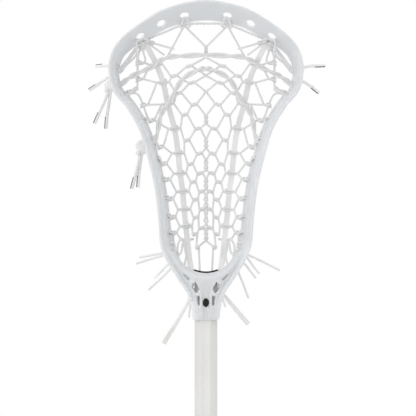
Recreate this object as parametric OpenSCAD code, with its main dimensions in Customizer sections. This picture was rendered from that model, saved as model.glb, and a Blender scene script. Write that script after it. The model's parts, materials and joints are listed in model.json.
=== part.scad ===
// Lacrosse stick: a moulded head with a woven pocket on an octagonal shaft.
// The shaft runs along +Z, the open face of the head looks towards -Y and the
// pocket hangs towards +Y. The origin is the centre of the butt end.

/* [Shaft] */
// Length of the bare tube
shaft_len = 813; // [700:1:900]
// Width across the flats
shaft_af = 22.2; // [20:0.1:24]
// Wall thickness of the tube
shaft_wall = 1.2; // [1:0.1:3]
// How far the tube goes into the head
insertion = 38; // [30:1:38]

/* [End cap] */
// Overall length of the cap
cap_len = 32; // [20:1:60]
// Thickness of the cap's floor
cap_floor = 4; // [3:0.5:8]
// Wall thickness of the cap
cap_wall = 2.2; // [1.5:0.1:4]

/* [Head] */
// Gap between the tube and its socket, on each side
socket_gap = 0.15; // [0.1:0.05:0.3]
// Radius of the ball stop's curve
stop_r = 31; // [30:0.5:32]
// Thickness of the ball stop pad
pad_t = 1.4; // [1:0.1:3]
// Diameter of the holes along the scoop
scoop_hole_d = 8.7; // [6:0.1:9]
// Width of the string slots in the sidewalls
slot_d = 4.4; // [4:0.1:5]

/* [Screw] */
// Shank diameter of the head screw
screw_d = 4.8; // [4:0.1:5]
// Shank length of the head screw
screw_len = 14; // [10:1:18]

/* [Strings] */
// Diameter of the woven crosslace
crosslace_d = 1.8; // [1.4:0.1:2.2]
// Diameter of one shooting lace
lace_d = 2.5; // [2:0.1:3]
// Diameter of a lace tail with a tipped end
tipped_d = 3.2; // [2.6:0.1:3.4]
// Diameter of a plain string tail
plain_d = 2.4; // [2:0.1:2.8]
// Width of the two pocket thongs
thong_w = 5.2; // [4:0.1:6]
// Thickness of the two pocket thongs
thong_t = 1.6; // [1.2:0.1:2]

/* [Hidden] */

head_z = cap_floor + shaft_len - insertion;  // height of the socket's mouth
screw_u = 17;                                // heights u are measured from the socket's mouth
boss_y = 14.8;
seat_y = 13.5;
inlay_r = 4.2;
slack = 0.1;
stop_u = 45.2;      // lowest point of the ball stop's curve

plastic = [0.90, 0.91, 0.92];
string_white = [0.95, 0.95, 0.95];
thong_white = [0.88, 0.88, 0.87];

// Rim of the head, half of it, from the throat to the tip of the scoop.
// Each row: half width, height, wall width seen from the front, front y, back y, scoop share
RIM = [
    [15.0, 19, 9, -13, 13, 0],
    [20.2, 29, 10, -13.2, 14, 0],
    [26.8, 38.5, 11.5, -13.2, 15.5, 0],
    [38.6, 58, 12.2, -12.4, 18.5, 0],
    [44.6, 74, 12.2, -11, 22, 0],
    [46.6, 98, 11.6, -9.5, 26, 0],
    [50, 127, 11.2, -8, 29, 0],
    [56.4, 155, 11, -7, 31, 0],
    [65, 184, 10.4, -6.5, 31, 0],
    [78, 206.5, 10, -6.5, 29, 0],
    [90, 221, 9.8, -7, 26, 0],
    [94.8, 241, 10.6, -8.5, 22, 0.1],
    [91.6, 259, 15, -10, 18.5, 0.6],
    [81, 274, 17.5, -12, 15, 0.9],
    [61.3, 289, 18.2, -14, 11, 1],
    [36.6, 302.5, 18.4, -15.5, 8, 1],
    [0, 309.5, 18.4, -16, 7, 1]
];
RIM_STEPS = 2;      // rings between two rows
SLOTS = [2.6, 3.3, 3.9, 4.5, 5.1, 5.7, 6.3, 7.05, 7.7, 8.4, 9.45, 10, 10.75, 11.35];
SCOOP_HOLES = [13.62, 14.55, 15.38];
hole_share = 0.57;  // how far across the scoop's plate its holes lie

// Throat of the head. Each row: height, half width, front y, back y
THROAT = [
    [0, 12.7, -12.8, 12.8], [4.6, 13.8, -13.4, 13.4], [4.9, 13.4, -13, 13], [10, 14.2, -13, 13],
    [19, 16.1, -13, 13.2], [29, 20, -12.9, 13.8], [38.5, 26.4, -12.7, 15], [48, 32.8, -12.4, 16.5],
    [58, 37.8, -11.8, 18], [66, 40.8, -11, 19.5]
];
UPPER_WINDOW = [[10.2, 36.3], [7.3, 30], [9.4, 26.4], [13.6, 31.8]];
LOWER_WINDOW = [[9.2, 23.8], [6, 23], [6.2, 16], [7.6, 13.6], [8.6, 17]];
GROOVE = [[25.5, 47.3], [15.2, 38.9], [16.4, 37.4]];
THONG_HOLE = [[14.8, 7, 50], [14.2, 18, 31]];

// Depth of the pocket. Each table: height, value
NET_EDGE_Y = [[44, 17], [58, 16], [74, 18.5], [98, 22], [127, 25], [155, 27], [184, 27], [206, 25],
    [221, 22], [241, 18], [259, 15], [276, 11], [292, 8]];
NET_SAG = [[44, 0], [58, 5], [74, 10], [98, 15], [127, 17], [155, 16], [184, 13], [206, 10], [221, 8],
    [241, 5], [259, 3], [276, 1], [292, 0]];
NET_HALF = [[44, 10], [58, 25], [74, 33], [98, 35.5], [127, 39], [155, 45], [184, 54], [206, 66], [221, 78],
    [241, 84], [259, 75], [276, 53], [292, 20]];

// Columns of the woven net from the sidewall to the middle, each point as half width, height
SIDE_POINTS = [[66.5, 250], [66.5, 234], [62, 209], [54, 194], [45, 168], [42, 151.5], [38.5, 136],
    [35.5, 117], [33, 99], [32, 83.5]];
THONG_POINTS = [[48.5, 248.5], [42, 231.5], [37.5, 210.5], [31, 186.5], [27.5, 162.5], [25.5, 142.5],
    [23, 124.5], [21.5, 107], [19.7, 90.5], [18.2, 74]];
OUTER_KNOTS = [[31.5, 237.5], [26.8, 221], [21, 200], [19, 175], [15.5, 151.5], [12.6, 134], [10.2, 116.5],
    [9.8, 99], [10.8, 82.5]];
INNER_KNOTS = [[17, 247], [14, 231], [11.5, 210], [8, 186.5], [6.5, 162], [6, 142.5], [4.5, 124.5],
    [4, 107], [4.5, 88.5], [9, 70.5]];
// Middle strands, each as the heights of its two ends
MIDDLE = [[238.5, 237.5], [223, 222], [200, 191], [177, 167], [156, 145.5], [138, 127], [120, 107.5],
    [100, 86], [85, 76]];
middle_x = 1.05;
THROAT_STRING = [6, 46];

// Centrelines of the right half of each lace, as half width and height
UPPER_LACE = [[86, 226.5], [76, 234.5], [68, 239], [52, 246.5], [45, 251.5], [36, 255.5], [22, 256.6],
    [0, 257.6]];
LOWER_LACE = [[52, 172], [48, 180], [45.5, 194.5], [41.5, 205], [34, 215], [27, 228.5], [19.4, 237],
    [6, 243.5], [0, 244]];
lace_front = 3.9;       // how far the laces lie in front of the net
STUB = [[83, 15, 214], [78, 16.5, 217.5], [72, 18, 222], [67.5, 19, 225.5]];

// Free tails, each as x, y and height. The first point is in the slot that it leaves
TAILS = [
    [[-88.5, 13, 247], [-93, 17, 247.5], [-98, 23, 247.5], [-103, 30.5, 248], [-107.5, 38, 248]],
    [[-89, 13, 239.5], [-94.5, 15, 236.5], [-101, 18, 232.5], [-107.5, 20.5, 228], [-114, 22, 224]],
    [[-95, 10, 222], [-98.5, 10, 213], [-103, 11, 203], [-108.5, 12, 191]],
    [[-93, 10.5, 222], [-94.5, 12, 210], [-96.5, 13, 198], [-97.5, 13, 186]],
    [[89, 13, 245], [95, 15, 245.5], [102, 18.5, 247], [109, 22.5, 247.5], [116, 26.5, 248]],
    [[88, 14, 236], [93.5, 16, 232.5], [99, 20, 229.5], [104.5, 25, 226], [110, 31, 222]],
    [[-64, 16, 162], [-66.5, 17, 151], [-69.5, 18.5, 139], [-72.5, 19.5, 127.5]],
    [[-62.5, 17, 162], [-64, 19, 152], [-65.5, 20, 141], [-66.5, 20.5, 129]],
    [[-34, 10, 66.5], [-42, 12.5, 64.5], [-50, 14.5, 63], [-57.5, 17, 61.5], [-65, 19.5, 60]],
    [[-34.5, 9.5, 65], [-42, 12, 62], [-50.5, 13.5, 59.5], [-59, 14.5, 57], [-68, 15, 54]],
    [[-28, 8, 54.5], [-33, 10, 53.5], [-38.5, 13, 52], [-43.5, 17.5, 46.5], [-50, 25.5, 40]],
    [[-27.5, 8, 54], [-31, 10.5, 51], [-36, 12, 47.5], [-42.5, 13.5, 41], [-49, 14.5, 35], [-56, 15, 28.5]],
    [[34.5, 9.5, 65], [42.5, 12, 62], [51, 14, 58], [61, 15.5, 53], [72, 16, 47.5]],
    [[34, 10, 66], [38.5, 11.5, 62], [42, 14, 57.5], [46.5, 18, 51], [52, 27.5, 44.5]],
    [[28, 8, 54.5], [33, 10.5, 54], [38.5, 13.5, 53], [43, 18, 47], [48.5, 27.5, 40]],
    [[27.5, 8, 54], [30, 10.5, 49.5], [32, 12, 44.5], [35.5, 13, 36.5], [38.5, 14, 28.5], [41.5, 14.5, 20.5]]
];
THONG_TAIL_LEFT = [[-13.8, 17, 28], [-17, 18, 17.5], [-23, 19, 6.5], [-29.5, 19.5, -4.5], [-36, 19.5, -15],
    [-41.5, 19, -24]];
THONG_TAIL_RIGHT = [[13.8, 17, 28], [18.5, 18, 22], [26, 19, 13], [34, 19.5, 3.5], [41.5, 19.5, -5]];
STRING_TAIL_LEFT = [[-8, 16.5, 35], [-12, 21.5, 26], [-15.5, 23.5, 14], [-16.5, 23.5, 1]];
STRING_TAIL_RIGHT = [[7, 16.5, 37], [12, 21.5, 30], [16, 24, 20.5], [19, 32.5, 11.5]];
aglet_len = 11.5;
aglet_wall = 0.3;

// ---- curves and frames ----
function at(v, i) = v[min(max(i, 0), len(v) - 1)];
function blend4(a, b, c, d, t) =
    b + 0.5 * t * ((c - a) + t * ((2 * a - 5 * b + 4 * c - d) + t * (3 * (b - c) + d - a)));
function curve_at(v, s) =
    let (i = floor(s)) blend4(at(v, i - 1), at(v, i), at(v, i + 1), at(v, i + 2), s - i);
function smooth(v, n) = [for (k = [0 : n * (len(v) - 1)]) curve_at(v, k / n)];
function unit(v) = v / norm(v);
function flip_x(v) = [for (p = v) [for (k = [0 : len(p) - 1]) k == 0 ? -p[0] : p[k]]];
function turned(v) = [for (k = [len(v) - 1 : -1 : 0]) v[k]];
// A half line that ends in the middle, joined to its mirror image
function both_halves(v) = concat(v, turned(flip_x([for (k = [0 : len(v) - 2]) v[k]])));

function net_y(x, u) =
    lookup(u, NET_EDGE_Y) + lookup(u, NET_SAG) * (1 - pow(min(abs(x) / lookup(u, NET_HALF), 1), 2));
// A point of the net in x, y and height, moved forwards by lift
function on_net(p, lift = 0) = [p[0], net_y(p[0], p[1]) - lift, p[1]];

FULL_RIM = both_halves(RIM);
function rim_tangent(s) =
    let (a = curve_at(FULL_RIM, s - 0.02), b = curve_at(FULL_RIM, s + 0.02))
    unit([b[0] - a[0], b[1] - a[1]]);
// Outward direction of the rim in the XZ plane
function rim_out(s) = let (t = rim_tangent(s)) [t[1], 0, -t[0]];
function rim_point(s, n, y) =
    let (p = curve_at(FULL_RIM, s), o = rim_out(s)) [p[0] + n * o[0], y, p[1] + n * o[2]];

// Section of the sidewall: a front rail, a thin slanted wall and a back rail
function wall_section(w, f, b) = [
    [-1.1, f], [0, f + 1.3], [0, f + 4.6], [-1.9, f + 6.6],
    [5.2 - w, b - 7], [6 - w, b - 5], [6 - w, b - 1.3], [4.8 - w, b],
    [1.2 - w, b], [-w, b - 1.3], [-w, b - 5], [2.2 - w, b - 7],
    [-5, f + 6.6], [-3.9, f + 4.4], [-3.7, f + 1.2], [-2.8, f]
];
// Section of the scoop: a slanted plate, as share of its width and offset from its middle
SCOOP_SECTION = [
    [0.03, -1.2], [0, 0], [0.03, 1.3], [0.2, 1.7], [0.75, 1.7], [0.88, 2], [0.97, 1.6], [1, 0.8],
    [1, -0.4], [0.985, -1], [0.9, -1.5], [0.7, -1.6], [0.4, -1.6], [0.2, -1.6], [0.1, -1.5], [0.05, -1.4]
];
function scoop_section(w, f, b) =
    let (d = b - f, n = norm([w, d]))
    [for (q = SCOOP_SECTION) [-w * q[0] + q[1] * d / n - 0.6, f + d * q[0] + q[1] * w / n]];
function rim_ring(s) =
    let (p = curve_at(FULL_RIM, s), m = p[5])
    let (q = (1 - m) * wall_section(p[2], p[3], p[4]) + m * scoop_section(p[2], p[3], p[4]))
    [for (c = q) rim_point(s, c[0], c[1])];

// ---- generic solids ----
// Skins a list of rings that have the same number of points
module skin(rings) {
    n = len(rings[0]);
    m = len(rings);
    polyhedron(
        points = [for (r = rings) each r],
        faces = concat(
            [[for (k = [0 : n - 1]) k]],
            [for (j = [0 : m - 2], k = [0 : n - 1]) each let (a = j * n + k, b = j * n + (k + 1) % n)
                [[a, a + n, b + n], [a, b + n, b]]],
            [[for (k = [n - 1 : -1 : 0]) (m - 1) * n + k]]
        ),
        convexity = 10
    );
}

function tangent(v, i) = unit(at(v, i + 1) - at(v, i - 1));
// A direction square to t that lies as near to up as it can
function square_to(t, up) = unit(up - (up * t) * t);
// Ring of a flat or round cord: half sizes a and b along the two directions square to the path
function cord_ring(p, t, up, a, b, sides) =
    let (v = square_to(t, up), w = cross(v, t))
    [for (k = [0 : sides - 1]) let (q = 360 * (k + 0.5) / sides) p + a * cos(q) * w + b * sin(q) * v];
module cord(path, d, up = [0, 1, 0], sides = 8) {
    skin([for (i = [0 : len(path) - 1]) cord_ring(path[i], tangent(path, i), up, d / 2, d / 2, sides)]);
}
// A flat strap: its width lies square to the path and to up
module strap(path, w, t, up = [0, 1, 0]) {
    skin([for (i = [0 : len(path) - 1])
        let (g = tangent(path, i), v = square_to(g, up), s = cross(v, g))
        [for (c = [[1, 1], [-1, 1], [-1, -1], [1, -1]]) path[i] + c[0] * s * w / 2 + c[1] * v * t / 2]]);
}
// Puts its child's Z axis along a direction
module along(p, v) {
    translate(p) rotate([0, acos(v[2] / norm(v)), atan2(v[1], v[0])]) children();
}
module strand(a, b, d) {
    along(a, b - a) cylinder(d = 1.1 * d, h = norm(b - a), $fn = 5);
}
// A knot is a plain lump, rounded only as far as its size needs
module knot(p, d) {
    translate(p) hull() sphere(d = d, $fn = 5);
}
// Strands from point to point, with a small lump on each point
module strand_line(path, d) {
    for (i = [0 : len(path) - 2]) strand(path[i], path[i + 1], d);
    for (p = path) knot(p, d * 1.3);
}
module octagon_bar(af, h) {
    rotate(22.5) cylinder(d = af / cos(22.5), h = h, $fn = 8);
}
module raise() {
    translate([0, 0, head_z]) children();
}

// Clearance hole for the head screw, from the shaft's axis outwards
module screw_way(h) {
    translate([0, 0, screw_u]) rotate([-90, 0, 0]) cylinder(d = screw_d + 2 * slack, h = h, $fn = 32);
}

// ---- shaft and cap ----
module shaft() {
    color([0.89, 0.89, 0.88]) difference() {
        translate([0, 0, cap_floor]) octagon_bar(shaft_af, shaft_len);
        translate([0, 0, cap_floor - 1]) octagon_bar(shaft_af - 2 * shaft_wall, shaft_len + 2);
        raise() screw_way(20);
    }
}

module end_cap() {
    outer = shaft_af + 2 * slack + 2 * cap_wall;
    lip = 1.6;
    color([0.93, 0.93, 0.93]) difference() {
        union() {
            translate([0, 0, lip]) octagon_bar(outer, cap_len - 2 * lip);
            octagon_bar(outer - 2 * lip, cap_len);
            translate([0, 0, lip / 2]) octagon_bar(outer - 0.6 * lip, cap_len - lip);
        }
        translate([0, 0, cap_floor]) octagon_bar(shaft_af + 2 * slack, cap_len);
    }
}

// ---- head ----
function oval_ring(w, f, b, z) =
    [for (k = [0 : 31]) let (q = 360 * k / 32, c = cos(q), s = sin(q), e = 0.62)
        [w * sign(c) * pow(abs(c), e), (f + b) / 2 + (b - f) / 2 * sign(s) * pow(abs(s), e), z]];

module throat_body() {
    skin([for (r = THROAT) oval_ring(r[1], r[2], r[3], r[0])]);
}
module mirrored() {
    children();
    mirror([1, 0, 0]) children();
}
// Extrudes an outline that is drawn as x and height, through the whole depth
module through(outline, depth = 60) {
    translate([0, depth / 2, 0]) rotate([90, 0, 0]) linear_extrude(depth) polygon(outline);
}
module slab(outline_r, centre_u, half, y0, y1) {
    translate([0, y1, 0]) rotate([90, 0, 0]) linear_extrude(y1 - y0) hull() {
        translate([0, centre_u]) circle(r = outline_r, $fn = 72);
        translate([-half, centre_u + 8]) square([2 * half, 12]);
    }
}
// The room in front of the ball stop, wider at the front
module ball_room() {
    centre = stop_u + stop_r;
    hull() {
        slab(stop_r, centre, 34.3, 0, 40);
        slab(stop_r + 5.6, centre + 2, 41, -40, -11);
    }
}
// A round-ended slot in the sidewall, along the rim
module wall_slot(s) {
    r = curve_at(FULL_RIM, s);
    half = 2;
    p = rim_point(s, 4, r[4] - 9.5);
    t = rim_tangent(s);
    hull() for (k = [-half, half])
        along(p + k * [t[0], 0, t[1]], -rim_out(s)) cylinder(d = slot_d, h = r[2] + 8, $fn = 8);
}
module scoop_hole(s) {
    r = curve_at(FULL_RIM, s);
    o = rim_out(s);
    depth = r[4] - r[3];
    axis = unit([depth * o[0], r[2], depth * o[2]]);
    along(rim_point(s, -hole_share * r[2] - 0.6, r[3] + hole_share * depth) - 8 * axis, axis)
        cylinder(d = scoop_hole_d, h = 16, $fn = 20);
}
module thong_hole() {
    hull() for (x = [-1.3, 1.3])
        along(THONG_HOLE[0] + [x, 0, 0], THONG_HOLE[1] - THONG_HOLE[0])
            cylinder(d = 3.4, h = norm(THONG_HOLE[1] - THONG_HOLE[0]), $fn = 12);
}

module head() {
    color(plastic) raise() difference() {
        union() {
            skin([for (k = [0 : RIM_STEPS * (len(FULL_RIM) - 1)]) rim_ring(k / RIM_STEPS)]);
            difference() {
                throat_body();
                ball_room();
            }
            translate([0, 10, screw_u]) rotate([-90, 0, 0]) cylinder(d = 11, h = boss_y - 10, $fn = 32);
        }
        translate([0, 0, -1]) octagon_bar(shaft_af + 2 * socket_gap, insertion + 1.5);
        mirrored() {
            through(UPPER_WINDOW);
            through(LOWER_WINDOW);
            through(GROOVE);
            thong_hole();
            for (s = SLOTS) wall_slot(s);
            for (s = SCOOP_HOLES) scoop_hole(s);
        }
        screw_way(30);
        translate([0, seat_y, screw_u]) rotate([-90, 0, 0]) cylinder(d = 8.4, h = 10, $fn = 32);
        inlay_oval(inlay_r + 0.1, 5);
    }
}

// An upright oval that starts at the floor of its recess and grows forwards
module inlay_oval(r, h) {
    translate([0, -12.1, screw_u]) rotate([90, 0, 0])
        linear_extrude(h) scale([0.72, 1]) circle(r = r, $fn = 32);
}
module throat_inlay() {
    color([0.08, 0.08, 0.08]) raise() inlay_oval(inlay_r, 0.9);
}

module head_screw() {
    color([0.7, 0.7, 0.72]) raise() translate([0, seat_y, screw_u]) rotate([-90, 0, 0]) difference() {
        union() {
            cylinder(d = 7.6, h = 2.2, $fn = 32);
            translate([0, 0, -screw_len]) cylinder(d = screw_d, h = screw_len + 1, $fn = 32);
        }
        translate([0, 0, 1]) cylinder(d = 3.4, h = 3, $fn = 6);
    }
}

module ball_stop() {
    span = 22.5;
    depth = 14;
    color([0.07, 0.07, 0.07]) raise()
        translate([0, 15.3, stop_u + stop_r]) rotate([90, 0, 0]) linear_extrude(depth)
        polygon(concat([for (a = [-span : 4.5 : span]) (stop_r - 0.05) * [sin(a), -cos(a)]],
            [for (a = [span : -4.5 : -span]) (stop_r - pad_t) * [sin(a), -cos(a)]]));
}

// ---- woven pocket ----
// Path of a thong from its scoop hole to its throat hole
function thong_path() = concat(
    [[63.3, 0.5, 277], [62.3, 6.5, 272]],
    [for (p = concat([[57, 263]], THONG_POINTS)) on_net(p)],
    [[16.4, 20, 60], [15, 12, 52], [14.6, 9.6, 46], [14.4, 13, 38.8], [14.3, 16.6, 32]]
);
module thong() {
    color(thong_white) raise() strap(smooth(thong_path(), 2), thong_w, thong_t);
}

// A band of crosslace round a thong at one crossing
module thong_band(i) {
    p = on_net(THONG_POINTS[i]);
    t = tangent([for (q = THONG_POINTS) on_net(q)], i);
    v = square_to(t, [0, 1, 0]);
    w = cross(t, v);
    room = 0.3;
    multmatrix([[w[0], v[0], t[0], p[0]], [w[1], v[1], t[1], p[1]], [w[2], v[2], t[2], p[2]], [0, 0, 0, 1]])
        difference() {
            cube([thong_w + 2 * room + 2.4, thong_t + 2 * room + 2.4, 2.2], center = true);
            cube([thong_w + 2 * room, thong_t + 2 * room, 4], center = true);
        }
}
// Where a strand meets the band: on the side wall that faces it
function band_end(i, side) = on_net(THONG_POINTS[i] + [side * (thong_w / 2 + 0.9), 0]);

module crosslace() {
    color(string_white) raise() {
        for (i = [0 : 9]) {
            thong_band(i);
            knot(on_net(SIDE_POINTS[i]), 3.6);
            knot(on_net(INNER_KNOTS[i]), 4.2);
            strand(band_end(i, 1), on_net(SIDE_POINTS[i]), crosslace_d);
            if (i < 9) strand(band_end(i, 1), on_net(SIDE_POINTS[i + 1]), crosslace_d);
        }
        for (i = [0 : 8]) {
            knot(on_net(OUTER_KNOTS[i]), 4.2);
            strand(on_net(OUTER_KNOTS[i]), band_end(i, -1), crosslace_d);
            strand(on_net(OUTER_KNOTS[i]), band_end(i + 1, -1), crosslace_d);
            strand(on_net(OUTER_KNOTS[i]), on_net(INNER_KNOTS[i]), crosslace_d);
            strand(on_net(OUTER_KNOTS[i]), on_net(INNER_KNOTS[i + 1]), crosslace_d);
            top = on_net([middle_x, MIDDLE[i][0]]);
            low = on_net([middle_x, MIDDLE[i][1]]);
            strand_line([on_net(INNER_KNOTS[i]), top, low, on_net(INNER_KNOTS[i + 1])], crosslace_d);
        }
        strand(on_net(INNER_KNOTS[0]), on_net([middle_x, 255]), crosslace_d);
        strand(on_net(INNER_KNOTS[9]), [THROAT_STRING[0], 17.2, THROAT_STRING[1]], crosslace_d);
    }
}

// Goes from net point to net point, and between them in and out of a sidewall slot
function slot_turn(s) =
    let (gap = 0.06, clear = -1.4, deep = 3)
    [for (q = [[s + gap, clear], [s + gap, deep], [s - gap, deep], [s - gap, clear]])
        let (r = curve_at(FULL_RIM, q[0])) rim_point(q[0], q[1] - r[2], r[4] - 9.5)];
function sidewall_route() = concat(
    [[63.5, 6, 274], [66, 11, 264]],
    [for (k = [0 : 9]) each concat([on_net(SIDE_POINTS[k])], slot_turn(SLOTS[12 - k]))],
    [[28.5, 15, 68]]
);
module sidewall_string() {
    color(string_white) raise() cord(sidewall_route(), crosslace_d, sides = 6);
}

module top_string() {
    rail = both_halves([[60, 13, 271.5], [41, 13, 279.5], [21, 11.5, 287], [0, 11, 288]]);
    brace = [[60, 13, 271], [71, 13, 258.5], [82.5, 15, 244]];
    loop = [21, 11.5, 287];
    join = [0.9, 11.5, 266];
    color(string_white) raise() {
        cord(smooth(rail, 2), crosslace_d, sides = 6);
        for (side = [0, 1]) mirror([side, 0, 0]) {
            strand(loop, on_net([37, 257.5]), crosslace_d);
            strand(loop, join, crosslace_d);
            strand(join, on_net([0.9, 259.5]), crosslace_d);
            strand(rail[0], on_net([41, 258]), crosslace_d);
            cord(smooth(brace, 2), crosslace_d, sides = 6);
            for (p = [loop, join, rail[0], brace[0]]) knot(p, 1.5 * crosslace_d);
        }
    }
}

// One of two laces that wind round each other along a line
function wound(line, turns, phase) =
    let (n = len(line) - 1)
    [for (i = [0 : n])
        let (q = phase + 360 * turns * i / n)
        let (t = tangent(line, i), v = square_to(t, [0, 1, 0]), w = cross(t, v))
        line[i] + (lace_d / 2 + 0.05) * (cos(q) * v + sin(q) * w)];
module shooting_lace(half, turns, phase) {
    line = smooth([for (p = both_halves(half)) on_net(p, lace_front)], 3);
    color(string_white) raise() cord(wound(line, turns, phase), lace_d, sides = 6);
}
module lace_stub() {
    color(string_white) raise() cord(smooth(STUB, 2), 4.2);
}
module outside_knot(p, size) {
    color(string_white) raise() translate(p) scale(size) sphere(d = 1, $fn = 20);
}

// ---- free tails ----
module free_tail(path, d) {
    color(string_white) raise() cord(path, d);
}
module flat_tail(path, lean) {
    n = len(path) - 1;
    color(thong_white) raise() skin([for (i = [0 : n])
        cord_ring(path[i], tangent(path, i), [lean * sin(70 * i / n), 1, 0], 2.5, 1.3, 8)]);
}
module aglet(path) {
    tip = path[len(path) - 1];
    back = unit(path[len(path) - 2] - tip);
    color([0.75, 0.76, 0.78]) raise() along(tip - 0.4 * back, back) difference() {
        cylinder(d = tipped_d + 2 * aglet_wall + 0.1, h = aglet_len, $fn = 24);
        translate([0, 0, -1]) cylinder(d = tipped_d + 0.1, h = aglet_len + 2, $fn = 24);
    }
}

shaft();
end_cap();
head();
head_screw();
ball_stop();
throat_inlay();
mirror([1, 0, 0]) thong();  // thong_left
thong();  // thong_right
top_string();
mirror([1, 0, 0]) sidewall_string();  // sidewall_string_left
sidewall_string();  // sidewall_string_right
mirror([1, 0, 0]) crosslace();  // crosslace_left
crosslace();  // crosslace_right
shooting_lace(UPPER_LACE, 6, 0);  // shooting_upper_a
shooting_lace(UPPER_LACE, 6, 180);  // shooting_upper_b
shooting_lace(LOWER_LACE, 7, 0);  // shooting_lower_a
shooting_lace(LOWER_LACE, 7, 180);  // shooting_lower_b
mirror([1, 0, 0]) lace_stub();  // lace_stub_left
lace_stub();  // lace_stub_right
outside_knot([-94, 10, 225.5], [7, 8, 10]);  // knot_left_upper
outside_knot([-63, 16, 166.5], [7, 8, 12]);  // knot_left_lower
for (k = [1 : 8]) free_tail(TAILS[k - 1], tipped_d);
for (k = [9 : 16]) free_tail(TAILS[k - 1], plain_d);
flat_tail(THONG_TAIL_LEFT, 1);  // thong_tail_left
flat_tail(THONG_TAIL_RIGHT, -1);  // thong_tail_right
free_tail(STRING_TAIL_LEFT, plain_d);  // string_tail_left
free_tail(STRING_TAIL_RIGHT, plain_d);  // string_tail_right
for (k = [1 : 8]) aglet(TAILS[k - 1]);
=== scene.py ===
"""Looks of the lacrosse stick: moulded head, woven pocket, octagonal shaft, screw and end cap.

Sizes are in millimetres, in the head's own frame: x to the right, y towards the pocket and u up from the
socket's mouth. place() turns them into the frame's metres.
"""

import json
import math

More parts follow.
